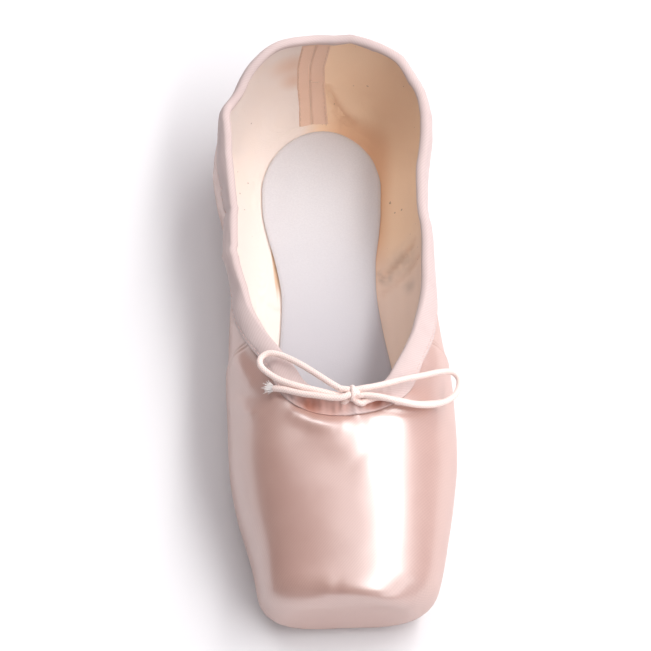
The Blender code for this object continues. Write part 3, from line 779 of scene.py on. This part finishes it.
def heel_tape_grids():
    """The two halves of the tape sewn over the heel's inner seam: front and back of each."""
    degrees = np.linspace(HEEL_TAPE[-1].rise, HEEL_TAPE[0].rise, TAPE_ROWS)
    rise, *edges = np.array(HEEL_TAPE).T
    left, seam, right = (np.interp(degrees, rise, edge) for edge in edges)
    rises = np.radians(degrees)[:, None]
    halves = []
    for low, high in ((left, seam - HALF_SEAM), (seam + HALF_SEAM, right)):
        across = low[:, None] + (high - low)[:, None] * np.linspace(0, 1, len(TAPE_THICKNESS))
        way = points_at(0 * across, np.cos(rises), np.sin(rises))
        skin = cast_to_last(points_at(across, *TAPE_CENTRE), way)
        normals = unit(np.cross(np.gradient(skin, axis=1), np.gradient(skin, axis=0)))
        normals *= np.sign((normals * way).sum(axis=2, keepdims=True))
        drop = COLLAR[-1].height - skin[..., 2]
        depth = wall_at(skin) - collar_sway(skin, drop)
        depth += lining_rise(moved_off(skin, normals, -wall_at(skin)), drop)
        thickness = np.array(TAPE_THICKNESS) + 0.04 * soft_noise(skin, 6, 0.2)
        front = moved_off(skin, normals, -depth - thickness)
        halves.append((front, moved_off(skin, normals, 0.15 - depth), normals))
    return halves


def plate_grid(rows, skin, heights, insets, middle_rings=9):
    """Rings from a sheet's edge in to its middle line, at insets from the edge and then evenly."""
    radius = outline_radius(rows, skin)[:, None]
    near_edge = radius - np.array(insets)
    inside = near_edge[:, -1:] * np.linspace(1, 0, middle_rings)[1:]
    reach = np.concatenate([near_edge, inside], axis=1)
    station = skin.stations[:, None] - reach * skin.forward[:, None]
    drift = read(SLACK, station, "drift") + read(rows, station, "drift")
    x = reach * skin.across[:, None] + drift
    rise = heights(points_at(x, station, 0), radius - reach)
    return points_at(x, station, read(UNDERSIDE, station, "height") + rise)


def insole_grid(skin):
    """The insole: a padded suede top with a rolled edge, and its plain underside."""

    def bottom(points, inset):
        return wall_at(points) + SEAT_GAP

    def top(points, inset):
        padding = 0.1 * soft_noise(points, 28, 0.7) * ease(inset, 0, 4)
        return bottom(points, inset) + INSOLE_THICKNESS - 0.55 * bell(inset, 0.7) + padding

    upper = plate_grid(INSOLE, skin, top, [0, 0.25, 0.55, 0.95, 1.5, 2.4])
    lower = plate_grid(INSOLE, skin, bottom, [0.25, 2.4], 3)
    return np.concatenate([upper[:, ::-1], lower], axis=1)


def outsole_grid(skin):
    """The leather sole: an eased edge, a stitching channel round it, and a gently worn tread."""

    def tread(points, inset):
        eased = 0.7 * (1 - ease(inset, 0, 0.9))
        return -SEAT_GAP - SOLE_THICKNESS + eased + 0.32 * bell(inset - 3.2, 0.38)

    def seat(points, inset):
        return -SEAT_GAP

    insets = [0, 0.2, 0.45, 0.9, 1.6, 2.4, 2.75, 3, 3.2, 3.4, 3.65, 4, 5]
    lower = plate_grid(OUTSOLE, skin, tread, insets)
    upper = plate_grid(OUTSOLE, skin, seat, [0, 2.4], 3)
    return np.concatenate([lower[:, ::-1], upper], axis=1)


def braid(turn, along):
    """Relief of the cord's woven cover: two sets of strands that cross."""
    first, second = (np.abs(np.sin(4 * turn + way * along * 2.3)) for way in (1, -1))
    return 0.045 * np.maximum(first, second) - 0.04


def swatch(red, green, blue):
    """A shader's colour from the usual 0 to 255 values."""
    return tuple(((value / 255 + 0.055) / 1.055) ** 2.4 for value in (red, green, blue))


class Wire:
    """A node's output, which can be added and multiplied in plain signs."""

    def __init__(self, wiring, socket):
        self.wiring, self.socket = wiring, socket

    def __add__(self, other):
        return self.wiring.maths("ADD", self, other)

    def __sub__(self, other):
        return self.wiring.maths("SUBTRACT", self, other)

    def __mul__(self, other):
        return self.wiring.maths("MULTIPLY", self, other)


class Wiring:
    """The nodes of a material or a world."""

    def __init__(self, tree):
        self.tree = tree

    def feed(self, node, fed):
        """Feeds a node's sockets from wires, or sets them."""
        for name, value in fed.items():
            socket = node.inputs[name]
            if isinstance(value, Wire):
                self.tree.links.new(value.socket, socket)
            elif socket.type == "RGBA":
                socket.default_value = (*value, 1)
            else:
                socket.default_value = value

    def node(self, kind, output, fed=None, **settings):
        """The output of a new node, with its settings made and its sockets fed."""
        node = self.tree.nodes.new("ShaderNode" + kind)
        for name, setting in settings.items():
            setattr(node, name, setting)
        self.feed(node, fed or {})
        return Wire(self, node.outputs[output])

    def maths(self, operation, *values, clamp=False):
        """One sum on numbers."""
        fed = dict(enumerate(values))
        return self.node("Math", 0, fed, operation=operation, use_clamp=clamp)

    def vector(self, operation, *values):
        """One sum on vectors."""
        output = "Vector" if operation == "MULTIPLY" else "Value"
        return self.node("VectorMath", output, dict(enumerate(values)), operation=operation)

    def part(self, value, low, high, *levels):
        """A smooth step of a number from 0 at low to 1 at high, or between two other levels."""
        fed = dict(enumerate((value, low, high, *levels)))
        return self.node("MapRange", 0, fed, interpolation_type="SMOOTHSTEP")


def shade(colour, red, green, blue):
    """A colour with each of its parts multiplied."""
    return tuple(np.clip(np.array(colour) * (red, green, blue), 0, 1))


class Finish(Wiring):
    """A material whose nodes are wired up in a maker's words, with its sizes in millimetres."""

    def __init__(self, name, colour, roughness, **shader):
        self.material = bpy.data.materials.new(name)
        self.material.use_nodes = True
        super().__init__(self.material.node_tree)
        self.shader = self.tree.nodes["Principled BSDF"]
        self.colour = self.tone = tuple(colour)
        self.feed(self.shader, {"Base Color": self.colour, "Roughness": roughness})
        self.feed(self.shader, {key.replace("_", " "): shader[key] for key in shader})
        outputs = self.tree.nodes.new("ShaderNodeTexCoord").outputs
        self.place, self.cloth = Wire(self, outputs["Object"]), Wire(self, outputs["UV"])
        self.relief = {}

    def between(self, value, low, high):
        """A smooth step of a place from 0 at low to 1 at high."""
        return self.part(value, low * MM, high * MM)

    def mottle(self, size, detail=2, rough=0.5, stretch=None):
        """Uneven patches of about the given size, from 0 to 1."""
        place = self.vector("MULTIPLY", self.place, stretch) if stretch else self.place
        scale = 0.5 / (size * MM)
        fed = {"Vector": place, "Scale": scale, "Detail": detail, "Roughness": rough}
        return self.node("TexNoise", 0, fed)

    def blend(self, amount, first, second):
        """A colour between two others."""
        return self.node("Mix", 2, {0: amount, 6: first, 7: second}, data_type="RGBA")

    def shade(self, red, green, blue):
        """The finish's own colour with each of its parts multiplied."""
        return shade(self.colour, red, green, blue)

    def tint(self, amount, colour):
        """Turns the tone towards a colour."""
        self.tone = self.blend(amount, self.tone, colour)

    def darken(self, spared, red, green, blue):
        """Turns the tone towards a shade of the finish's colour where it isn't spared."""
        self.tone = self.blend(spared, self.shade(red, green, blue), self.tone)

    def axis(self, number, vector=None):
        """One coordinate of a vector."""
        return self.node("SeparateXYZ", number, {0: vector or self.place})

    def near(self, place, reach):
        """1 at a place, fading to 0 at its reach."""
        gap = self.vector("DISTANCE", self.place, tuple(to_scene(place)))
        return self.between(gap, reach, 0)

    def hollow(self, amount):
        """How deep in a trough the cloth lies, up to the given amount: the mask for painted shade
        in troughs, which also flattens the binding's ribs there.
        """
        return self.node("Attribute", "Fac", attribute_name="hollow") * amount

    def stripes(self, pitch, way, place=None):
        """Fine lines across a direction, from -1 to 1."""
        turns = unit(np.array(way, float)) * 2 * math.pi / (pitch * MM)
        return self.maths("SINE", self.vector("DOT_PRODUCT", place or self.place, tuple(turns)))

    def twill(self, pitch):
        """Diagonal lines of a twill weave on cloth that faces any way."""
        normal = self.node("NewGeometry", "Normal")
        weights = self.vector("MULTIPLY", normal, normal)
        first, second, third = (
            self.axis(number, weights) * self.stripes(pitch, way)
            for number, way in enumerate(((0, 1, -1), (1, 0, 1), (1, -1, 0)))
        )
        return first + second + third

    def raise_by(self, height, depth):
        """Adds relief of a depth."""
        fed = {"Distance": depth * MM, "Height": height, **self.relief}
        self.relief = {"Normal": self.node("Bump", 0, fed)}

    def done(self, **others):
        """The finished material."""
        self.feed(self.shader, {"Base Color": self.tone, **self.relief, **others})
        return self.material


def satin_finish(colours):
    """Peach satin: shiny floats in a fine diagonal, a little soiled where it meets the floor."""
    satin = Finish("peach_satin", colours.satin, 0.34, IOR=2.25, Specular_IOR_Level=0.9)
    twill = satin.twill(0.74)
    slub = satin.mottle(5, 3, 0.6)
    satin.darken(satin.part(slub, 0.3, 0.75), 0.95, 0.92, 0.92)
    furrow = satin.blend(0.4, satin.tone, satin.shade(0.74, 0.64, 0.64))
    satin.tone = satin.blend(satin.part(twill, -0.9, 1), furrow, satin.tone)
    soil = satin.between(satin.axis(2), 9, 1) * satin.part(slub, 0.25, 0.7)
    satin.tint(soil * 0.35, swatch(176, 148, 132))
    satin.raise_by(twill, 0.005)
    return satin.done(Roughness=slub * 0.1 + 0.27)


def binding_finish(colours):
    """Cotton twill tape, matte, with its diagonal ribs running round the collar, and painted shade
    in its troughs and in the two dents under the bow.
    """
    tape = Finish("twill_tape", colours.binding, 0.82, Sheen_Weight=0.2, Sheen_Roughness=0.6,
                  Specular_IOR_Level=0.25)
    ribs = tape.stripes(0.95, (1, 1, 0), tape.cloth)
    threads = tape.stripes(0.42, (1, -0.6, 0), tape.cloth)
    weave = (ribs + threads * 0.35) * tape.maths("SUBTRACT", 1, tape.hollow(1), clamp=True)
    tape.darken(tape.part(weave, -1, 0.8), 0.94, 0.91, 0.91)
    # painted shade: the tape turns salmon in its troughs
    tape.tint(tape.hollow(0.6), swatch(216, 160, 142))
    # painted shade: deeper brown in the two dents under the bow
    for place in ((-11, 64, 51), (12, 64.4, 51.3)):
        tape.tint(tape.near(place, 6) * tape.hollow(0.95), swatch(176, 114, 94))
    tape.tint(tape.part(tape.mottle(6, 3, 0.6), 0.45, 0.8), tape.shade(0.93, 0.9, 0.9))
    tape.raise_by(weave, 0.018)
    tape.raise_by(tape.mottle(0.4), 0.02)
    return tape.done()


def lining_finish(colours):
    """Plain cotton lining: cream, with painted shade warming the +X wall, beside the insole, at the
    heel and in the creases, painted light lifting the +X wall towards the toe, and a few grey
    patches and specks.
    """
    cotton = Finish("cotton_lining", colours.lining, 0.9, Sheen_Weight=0.15,
                    Specular_IOR_Level=0.2)
    shaded_wall_colour = tuple(colours.lining_shaded_wall)
    weave = cotton.stripes(0.5, (0, 1, 0.25)) * cotton.stripes(0.5, (0.5, 0, 1))
    patches = cotton.mottle(14, 3, 0.55)
    # painted shade: the +X wall turns to the shaded wall colour, warmer and darker
    side = cotton.between(cotton.axis(0) + patches * (4 * MM), -7, 3)
    cotton.tint(side * 0.95, shaded_wall_colour)
    x, y, z = (cotton.axis(number) for number in range(3))
    # painted shade: an orange strip low on the +X wall beside the insole, towards the heel
    low = cotton.between(z, 12, 4) * cotton.between(y, 4, 26)
    strip = cotton.between(x - y * 0.1, 20.5, 14) * low * cotton.between(x, -2, 10)
    cotton.tint(strip * 0.42, swatch(222, 158, 110))
    # painted shade: a golden-brown band in the gap beside the insole on the -X side, at the waist
    waist = cotton.between(y, 20, 32) * cotton.between(y, 70, 56)
    gap = cotton.between(x + y * 0.069, -18.2, -17.6) * waist * cotton.between(x, 0, -9)
    cotton.tint(gap * 0.8, swatch(206, 166, 126))
    # painted light: lightens the +X wall towards the toe
    cotton.tint(cotton.between(y, 52, 22) * side * 0.8, swatch(250, 228, 214))
    # painted shade: a fold shadow left of the heel tape
    for place, reach in (((-11, 214, 38), 12), ((-10, 215, 27), 8)):
        cotton.tint(cotton.near(place, reach) * 0.6, swatch(226, 184, 156))
    cotton.tint(cotton.part(patches, 0.5, 0.8) * 0.15, shade(shaded_wall_colour, 1.05, 1, 0.96))
    # painted shade in the creases' troughs
    cotton.tint(cotton.hollow(0.65), swatch(204, 146, 104))
    # grey patches by the creases on the +X wall; the broad middle one is painted shade over the
    # creases
    for place, reach, depth in (
        ((20.6, 140, 6), 5, 0.55), ((28, 145, 10), 11, 0.25), ((29.5, 133, 11), 5, 0.25),
    ):
        grey_patch = cotton.near(place, reach) * cotton.part(cotton.mottle(2.4, 4), 0.2, 0.65)
        cotton.tint(grey_patch * depth, swatch(140, 126, 118))
    cotton.tint(cotton.part(cotton.mottle(0.8, 0), 0.85, 0.87) * 0.45, swatch(120, 92, 78))
    cotton.raise_by(weave, 0.05)
    return cotton.done()


def heel_tape_finish(colours):
    """Woven tape over the heel's seam, a shade browner than the lining."""
    tape = Finish("heel_tape", colours.heel_tape, 0.85, Sheen_Weight=0.15, Specular_IOR_Level=0.2)
    weave = tape.stripes(0.55, (1, 0, 0)) * tape.stripes(0.55, (0, 0.4, 1))
    tape.darken(tape.part(weave, -0.8, 0.8), 0.84, 0.8, 0.76)
    tape.tint(tape.mottle(5, 3, 0.6) * 0.3, tape.shade(0.82, 0.76, 0.7))
    tape.raise_by(weave, 0.04)
    return tape.done()


def suede_finish(colours):
    """The insole's cover: a pale brushed nap, a little darker in uneven rubbed patches, with
    painted shade darkening it towards the toe, under the vamp.
    """
    suede = Finish("insole_suede", colours.insole, 0.95, Sheen_Weight=0.4, Sheen_Roughness=0.5,
                   Specular_IOR_Level=0.15)
    nap = suede.mottle(0.32, 4, 0.65)
    rubbed = suede.mottle(16, 3, 0.55, stretch=(1, 0.5, 1))
    suede.darken(suede.part(nap, 0.3, 0.7), 0.93, 0.925, 0.93)
    suede.tint(suede.part(rubbed, 0.4, 0.75) * 0.35, suede.shade(0.9, 0.87, 0.88))
    # painted shade: darker towards the toe, where the vamp shades the insole
    suede.tint(suede.between(suede.axis(1), 75, -14), suede.shade(0.74, 0.725, 0.75))
    suede.raise_by(nap, 0.04)
    return suede.done()


def leather_finish(colours):
    """The sole's split leather: pale tan with an open grain and rubbed patches under the ball."""
    leather = Finish("sole_leather", colours.sole, 0.72, Specular_IOR_Level=0.35)
    grain = leather.mottle(0.55, 5, 0.7)
    cloud = leather.mottle(12, 4, 0.6)
    ball, heel = leather.near((0, 56, 0), 22), leather.near((0, 184, 0), 18)
    leather.darken(leather.part(grain, 0.3, 0.7), 0.78, 0.74, 0.7)
    leather.tint(leather.part(cloud, 0.35, 0.75) * 0.5, leather.shade(0.86, 0.8, 0.74))
    leather.tint(leather.maths("MAXIMUM", ball, heel) * 0.4, swatch(150, 128, 108))
    leather.raise_by(grain, 0.08)
    return leather.done(Roughness=cloud * 0.2 + 0.6)


def cord_finish(colours):
    """Covered elastic cord: crossing strands of soft pink yarn."""
    cord = Finish("elastic_cord", colours.cord, 0.7, Sheen_Weight=0.35, Sheen_Roughness=0.5,
                  Specular_IOR_Level=0.3)
    crossing = (cord.stripes(0.75, (1, way, 0), cord.cloth) for way in (1.2, -1.2))
    strands = cord.maths("MAXIMUM", *crossing)
    cord.darken(cord.part(strands, -0.6, 0.7), 0.9, 0.82, 0.8)
    cord.tint(cord.mottle(3) * 0.25, cord.shade(0.9, 0.84, 0.82))
    cord.raise_by(strands, 0.04)
    return cord.done()


def thread_finish(name, colour, darker=0.8):
    """Sewing thread: two plies twisted together."""
    thread = Finish(name, colour, 0.6, Sheen_Weight=0.2)
    plies = thread.stripes(0.35, (1, 1, 1))
    thread.darken(thread.part(plies, -1, 0.6), darker, darker, darker)
    thread.raise_by(plies, 0.02)
    return thread.done()


def floor_finish(colours):
    """Plain pale paper, very slightly uneven."""
    paper = Finish("pale_floor", colours.floor, 0.9, Specular_IOR_Level=0.1)
    paper.darken(paper.part(paper.mottle(120, 3), 0.3, 0.7), 0.992, 0.99, 0.99)
    paper.raise_by(paper.mottle(1.2, 3), 0.02)
    return paper.done()


# What the settings of one kind have in common
LENGTH = {"unit": "LENGTH", "subtype": "DISTANCE", "precision": 5}
COLOUR = {"size": 3, "min": 0, "max": 1, "subtype": "COLOR"}


class PointeShoeSizes(bpy.types.PropertyGroup):
    """Sizes of the cloth, cord and stitches."""

    binding_puff: FloatProperty(
        name="Binding puff", description="How far the drawstring's casing swells",
        default=0.0006, min=0, max=0.0015, **LENGTH)
    satin_waves: FloatProperty(
        name="Satin waves", description="Height of the satin's gentle unevenness",
        default=0.0003, min=0, max=0.001, **LENGTH)
    cord_thickness: FloatProperty(
        name="Cord thickness", description="Diameter of the drawstring",
        default=0.0022, min=0.0015, max=0.003, **LENGTH)
    stitch_pitch: FloatProperty(
        name="Stitch pitch", description="Distance from one stitch of the binding to the next",
        default=0.0023, min=0.0015, max=0.004, **LENGTH)
    frayed_threads: IntProperty(
        name="Frayed threads", description="Number of loose threads at the cord's cut end",
        default=54, min=8, max=90)


class PointeShoeColours(bpy.types.PropertyGroup):
    """Colours of the cloths, the leathers and the cord."""

    satin: FloatVectorProperty(
        name="Satin", description="Colour of the upper's satin",
        default=swatch(203, 164, 150), **COLOUR)
    binding: FloatVectorProperty(
        name="Binding", description="Colour of the twill tape round the collar",
        default=swatch(212, 194, 190), **COLOUR)
    lining: FloatVectorProperty(
        name="Lining", description="Colour of the cotton lining",
        default=swatch(241, 229, 221), **COLOUR)
    # painted shade: the colour the lining's +X wall is turned to
    lining_shaded_wall: FloatVectorProperty(
        name="Lining shade", description="Colour of the lining where it is warmer",
        default=swatch(255, 223, 190), **COLOUR)
    heel_tape: FloatVectorProperty(
        name="Heel tape", description="Colour of the tape over the heel's seam",
        default=swatch(250, 218, 198), **COLOUR)
    insole: FloatVectorProperty(
        name="Insole", description="Colour of the insole's suede",
        default=swatch(216, 215, 217), **COLOUR)
    sole: FloatVectorProperty(
        name="Sole", description="Colour of the outsole's leather",
        default=swatch(205, 180, 152), **COLOUR)
    cord: FloatVectorProperty(
        name="Cord", description="Colour of the drawstring",
        default=swatch(251, 232, 224), **COLOUR)
    floor: FloatVectorProperty(
        name="Floor", description="Colour of the floor under the shoe",
        default=swatch(238, 238, 239), **COLOUR)


class PointeShoeLight(bpy.types.PropertyGroup):
    """Strengths of the studio's lights."""

    key: FloatProperty(
        name="Key light", description="Power of the tall soft light on the shoe's +X side",
        default=10.5, min=0, max=100, unit="POWER")
    overhead: FloatProperty(
        name="Overhead light", description="Power of the broad light above",
        default=2.1, min=0, max=100, unit="POWER")
    top: FloatProperty(
        name="Top light", description="Power of the small square light right above the throat",
        default=0.8, min=0, max=20, unit="POWER")
    front: FloatProperty(
        name="Front strip", description="Power of the narrow light in front of the toe's +X corner",
        default=0.6, min=0, max=20, unit="POWER")
    fill: FloatProperty(
        name="Fill light", description="Power of the small light above the heel's -X side",
        default=1.6, min=0, max=20, unit="POWER")
    card: FloatProperty(
        name="Side card", description="Power of the weak low light on the -X side",
        default=0.15, min=0, max=20, unit="POWER")
    room: FloatProperty(
        name="Room light", description="Strength of the even light all round",
        default=0.54, min=0, max=3)


# The camera, fitted to the photograph's outline
CAMERA_TARGET = (-2.7, 3.5, 20)
CAMERA_DISTANCE = 900
CAMERA_RISE = 60.5
CAMERA_TURN = 4.8
CAMERA_ROLL = 2.6
CAMERA_LENS = 137.7
SENSOR_WIDTH = 36


def put(thing, place, right, up, back):
    """Puts a camera or a light in the scene, facing away from its back."""
    turned = Matrix((right, up, back)).transposed().to_4x4()
    thing.matrix_world = Matrix.Translation(place) @ turned
    bpy.context.scene.collection.objects.link(thing)


def add_camera():
    """The camera at the photograph's angle."""
    rise, turn, roll = (math.radians(angle) for angle in (CAMERA_RISE, CAMERA_TURN, CAMERA_ROLL))
    level = math.cos(rise)
    back = Vector((-math.sin(turn) * level, -math.cos(turn) * level, math.sin(rise)))
    side = (-back).cross(Vector((0, 0, 1))).normalized()
    top = side.cross(-back)
    data = bpy.data.cameras.new("photo_camera")
    data.sensor_width, data.lens = SENSOR_WIDTH, CAMERA_LENS
    data.clip_start, data.clip_end = 0.01, 20
    camera = bpy.data.objects.new("photo_camera", data)
    place = (Vector(CAMERA_TARGET) + back * CAMERA_DISTANCE) * MM
    right = side * math.cos(roll) + top * math.sin(roll)
    put(camera, place, right, top * math.cos(roll) - side * math.sin(roll), back)
    bpy.context.scene.camera = camera


def add_softbox(name, way, distance, width, length, power, twist=0):
    """A rectangular light that faces the shoe, its length turned from the shoe's by a twist."""
    data = bpy.data.lights.new(name, "AREA")
    data.shape, data.size, data.size_y = "RECTANGLE", width, length
    data.energy = power
    way, twist = Vector(way).normalized(), math.radians(twist)
    across = Vector((math.sin(twist), math.cos(twist), 0)).cross(way).normalized()
    put(bpy.data.objects.new(name, data), way * distance, across, way.cross(across), way)


class ShoeOperator(bpy.types.Operator):
    """Common to the operators: each makes its own pieces from the scene's settings."""

    bl_options = {"REGISTER", "UNDO"}

    def execute(self, context):
        scene = context.scene
        self.make(scene.pointe_sizes, scene.pointe_colours, scene.pointe_light)
        return {"FINISHED"}


class POINTE_OT_stage(ShoeOperator):
    """Sets the camera, the soft lights and the pale floor"""

    bl_idname = "pointe.stage"
    bl_label = "Stage"

    def make(self, sizes, colours, light):
        add_camera()
        scene = bpy.context.scene
        scene.view_settings.view_transform = "Standard"
        scene.world = bpy.data.worlds.new("studio_room")
        scene.world.use_nodes = True
        room = Wiring(scene.world.node_tree)
        way = room.node("TexCoord", "Generated")
        side = room.vector("DOT_PRODUCT", way, (-0.82, 0.51, 0.26))
        ahead = room.vector("DOT_PRODUCT", way, (-0.62, -0.66, 0.42))
        strength = room.part(side, 0.55, 0.93, light.room, light.room * 0.2)
        strength = strength * room.part(ahead, 0.3, 0.95, 1, 0.2)
        room.feed(room.tree.nodes["Background"], {"Color": (1, 0.9, 0.97), "Strength": strength})
        add_softbox("key_light", (0.48, 0.08, 0.88), 0.96, 0.15, 2, light.key, 10)
        add_softbox("overhead_light", (0.42, -0.2, 1), 1.1, 0.9, 1.2, light.overhead)
        add_softbox("top_light", (-0.11, 0.18, 1), 1, 0.35, 0.35, light.top)
        add_softbox("fill_light", (-0.38, 0.36, 0.87), 1, 0.45, 0.45, light.fill)
        add_softbox("side_card", (-1, 0.1, 0.08), 0.6, 0.08, 0.6, light.card)
        add_softbox("front_strip", (0.55, -0.85, 0.45), 0.9, 0.1, 0.6, light.front)
        bpy.ops.mesh.primitive_grid_add(x_subdivisions=8, y_subdivisions=8, size=6)
        floor = bpy.context.active_object
        floor.name = "floor"
        floor.data.materials.append(floor_finish(colours))


class POINTE_OT_bow(ShoeOperator):
    """Makes the drawstring's loops, ends, knot and frayed tip"""

    bl_idname = "pointe.bow"
    bl_label = "Bow"

    def make(self, sizes, colours, light):
        finish = cord_finish(colours)
        diameter = sizes.cord_thickness
        radius = diameter / 2 / MM
        tip = self.frayed_tip(sizes, radius)
        for name, node, route, far_end, extras in (
            ("cord_loop_left", "bow_loop_left", LEFT_LOOP, "object", ()),
            ("cord_loop_right", "bow_loop_right", RIGHT_LOOP, "object", ()),
            ("cord_end_left", "bow_end_left", LEFT_END, "bare", (tip,)),
            ("cord_end_right", "bow_end_right", RIGHT_END, "bare", ()),
        ):
            line = smooth_route(route, CORD_STEP)
            ends = np.minimum(np.arange(len(line)), np.arange(len(line))[::-1]) / 2
            bundle = Bundle()
            rounded = radius * (0.8 + 0.2 * np.clip(ends, 0, 1) ** 0.5)
            bundle.add(line, rounded, sides=16, relief=braid)
            piece = dress(bundle.make(name), finish)
            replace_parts(piece, node)
            path = to_scene(smooth_route(route, PATH_STEP))
            length = float(np.linalg.norm(np.diff(to_scene(line), axis=0), axis=1).sum())
        knot = Bundle()
        turn = np.linspace(0, 2 * math.pi, 61)[:-1]
        wrap = points_at(np.sin(turn), np.cos(turn), np.sin(turn)) * WRAP_REACH + WRAP_CENTRE
        knot.add(wrap, radius * 0.78, sides=16, relief=braid, closed=True)
        for strand in KNOT_STRANDS:
            knot.add(smooth_route(strand, CORD_STEP), radius, sides=14, relief=braid)
        piece = dress(knot.make("cord_knot"), finish)
        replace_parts(piece, "bow_knot")

    def frayed_tip(self, sizes, radius):
        """Loose white threads that spread from the cord's cut end."""
        chance = np.random.default_rng(7)
        end, before = np.array(LEFT_END[-1]), np.array(LEFT_END[-2])
        way = unit(end - before)
        across = unit(np.cross(way, (0, 0, 1)))
        over = np.cross(across, way)
        part = np.linspace(0, 1, 8)[:, None]
        threads = Bundle()
        for _ in range(sizes.frayed_threads):
            turn = chance.uniform(0, 2 * math.pi)
            inner = radius * 0.75 * math.sqrt(chance.uniform(0, 1))
            outer = inner * chance.uniform(1.6, 3) + 0.2
            length = chance.uniform(2.4, 4.4)
            side = across * math.cos(turn) + over * math.sin(turn)
            bend = across * chance.uniform(-0.5, 0.5) + over * chance.uniform(-0.5, 0.3)
            spread = side * (inner + (outer - inner) * part ** 1.5) + bend * part ** 2
            route = end + way * (part * length - 0.8) + spread
            threads.add(route, THREAD_RADIUS * (1 - 0.4 * part[:, 0]), sides=5)
        thread = thread_finish("white_thread", swatch(255, 251, 248), 0.94)
        return dress(threads.make("frayed_tip"), thread)


class POINTE_OT_satin(ShoeOperator):
    """Lays the satin over the upper, with its folds, seams and pleats"""

    bl_idname = "pointe.satin"
    bl_label = "Satin upper"

    def make(self, sizes, colours, light):
        grid = satin_grid(shoe_skin(), sizes.satin_waves / MM)
        piece = grid_mesh("satin_upper", grid, close_rings=True)
        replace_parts(dress(piece, satin_finish(colours)), "upper")


class POINTE_OT_lining(ShoeOperator):
    """Makes the cotton lining and the tape over the heel's seam"""

    bl_idname = "pointe.lining"
    bl_label = "Lining"

    def make(self, sizes, colours, light):
        # the creases' troughs, where the lining's finish paints shade
        creases = [fold for fold in LINING_FOLDS if fold.height < 0]
        grid = lining_grid(shoe_skin())
        lining = grid_mesh("cotton_lining", grid, close_rings=True, hollows=creases)
        dress(lining, lining_finish(colours))
        tape = heel_tape_finish(colours)
        stitches = Bundle()
        halves = heel_tape_grids()
        for name, edge, sewn, (front, back, normals) in zip(
            ("heel_tape_left", "heel_tape_right"), (0, -1), (1, -2), halves
        ):
            dress(patch_mesh(name, front, back), tape)
            line, lift = front[:, sewn], normals[:, edge] * -1.6
            for start in range(2, len(line) - 4, 3):
                add_stitch(stitches, line[start], line[start + 2], THREAD_RADIUS, lift[start])
        (left, _, normals), (right, _, _) = halves
        stitches.add((left[:, -1] + right[:, 0]) / 2 + normals[:, -1] * 0.12, 0.2)
        add_stitch(stitches, (-4.3, 214.6, 27.5), (-0.9, 214.8, 26.1), 0.18, (0, -2, 0))
        thread = thread_finish("brown_thread", swatch(236, 204, 182))
        dress(stitches.make("heel_tape_stitches"), thread)


class POINTE_OT_binding(ShoeOperator):
    """Folds the twill binding over the collar and stitches it down"""

    bl_idname = "pointe.binding"
    bl_label = "Collar binding"

    def make(self, sizes, colours, light):
        grid, lengths = binding_grid(shoe_skin(), sizes.binding_puff / MM)
        # the two dents under the bow, where the binding's finish paints shade
        dents = COLLAR_PRESS[:2]
        piece = grid_mesh("collar_binding", grid, True, lengths, dents)
        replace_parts(dress(piece, binding_finish(colours)), "binding")
        grid = np.concatenate([grid, grid[:1]])
        line = grid[:, STITCHED_RING]
        lift = unit(line - grid[:, -2])
        walked = walked_along(line)
        pitch = sizes.stitch_pitch / MM
        starts = np.arange(0, walked[-1] - pitch, pitch)
        stitches = Bundle()
        for start, end, rise in zip(
            read_along(starts, walked, line),
            read_along(starts + pitch * STITCH_SHARE, walked, line),
            read_along(starts, walked, lift),
        ):
            if start[1] > THROAT_END:
                add_stitch(stitches, start, end, THREAD_RADIUS, rise)
        thread = thread_finish("pink_thread", swatch(238, 206, 198))
        dress(stitches.make("binding_stitches"), thread)


class POINTE_OT_soles(ShoeOperator):
    """Makes the suede insole and the stitched leather outsole"""

    bl_idname = "pointe.soles"
    bl_label = "Insole and outsole"

    def make(self, sizes, colours, light):
        insole = grid_mesh("suede_insole", insole_grid(shoe_skin()))
        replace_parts(dress(insole, suede_finish(colours)), "insole")
        sole = grid_mesh("leather_outsole", outsole_grid(shoe_skin()))
        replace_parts(dress(sole, leather_finish(colours)), "outsole")


OPERATORS = (
    POINTE_OT_stage, POINTE_OT_bow, POINTE_OT_satin, POINTE_OT_lining, POINTE_OT_binding,
    POINTE_OT_soles,
)


class POINTE_PT_panel(bpy.types.Panel):
    """The shoe's pieces and settings"""

    bl_idname = "POINTE_PT_panel"
    bl_label = "Pointe Shoe"
    bl_space_type = "VIEW_3D"
    bl_region_type = "UI"
    bl_category = "Pointe Shoe"

    def draw(self, context):
        for operator in OPERATORS:
            self.layout.operator(operator.bl_idname)
        for name in SETTINGS:
            box = self.layout.box()
            group = getattr(context.scene, name)
            for key in group.__annotations__:
                box.prop(group, key)


SETTINGS = {
    "pointe_sizes": PointeShoeSizes,
    "pointe_colours": PointeShoeColours,
    "pointe_light": PointeShoeLight,
}


def register():
    for group in (*SETTINGS.values(), *OPERATORS, POINTE_PT_panel):
        bpy.utils.register_class(group)
    for name, group in SETTINGS.items():
        setattr(bpy.types.Scene, name, PointerProperty(type=group))


def unregister():
    for name in SETTINGS:
        delattr(bpy.types.Scene, name)
    for group in reversed((*SETTINGS.values(), *OPERATORS, POINTE_PT_panel)):
        bpy.utils.unregister_class(group)


def main():
    """Makes the whole scene."""
    register()
    bpy.ops.pointe.stage()
    bpy.ops.pointe.bow()
    bpy.ops.pointe.satin()
    bpy.ops.pointe.lining()
    bpy.ops.pointe.binding()
    bpy.ops.pointe.soles()


if __name__ == "__main__":
    main()
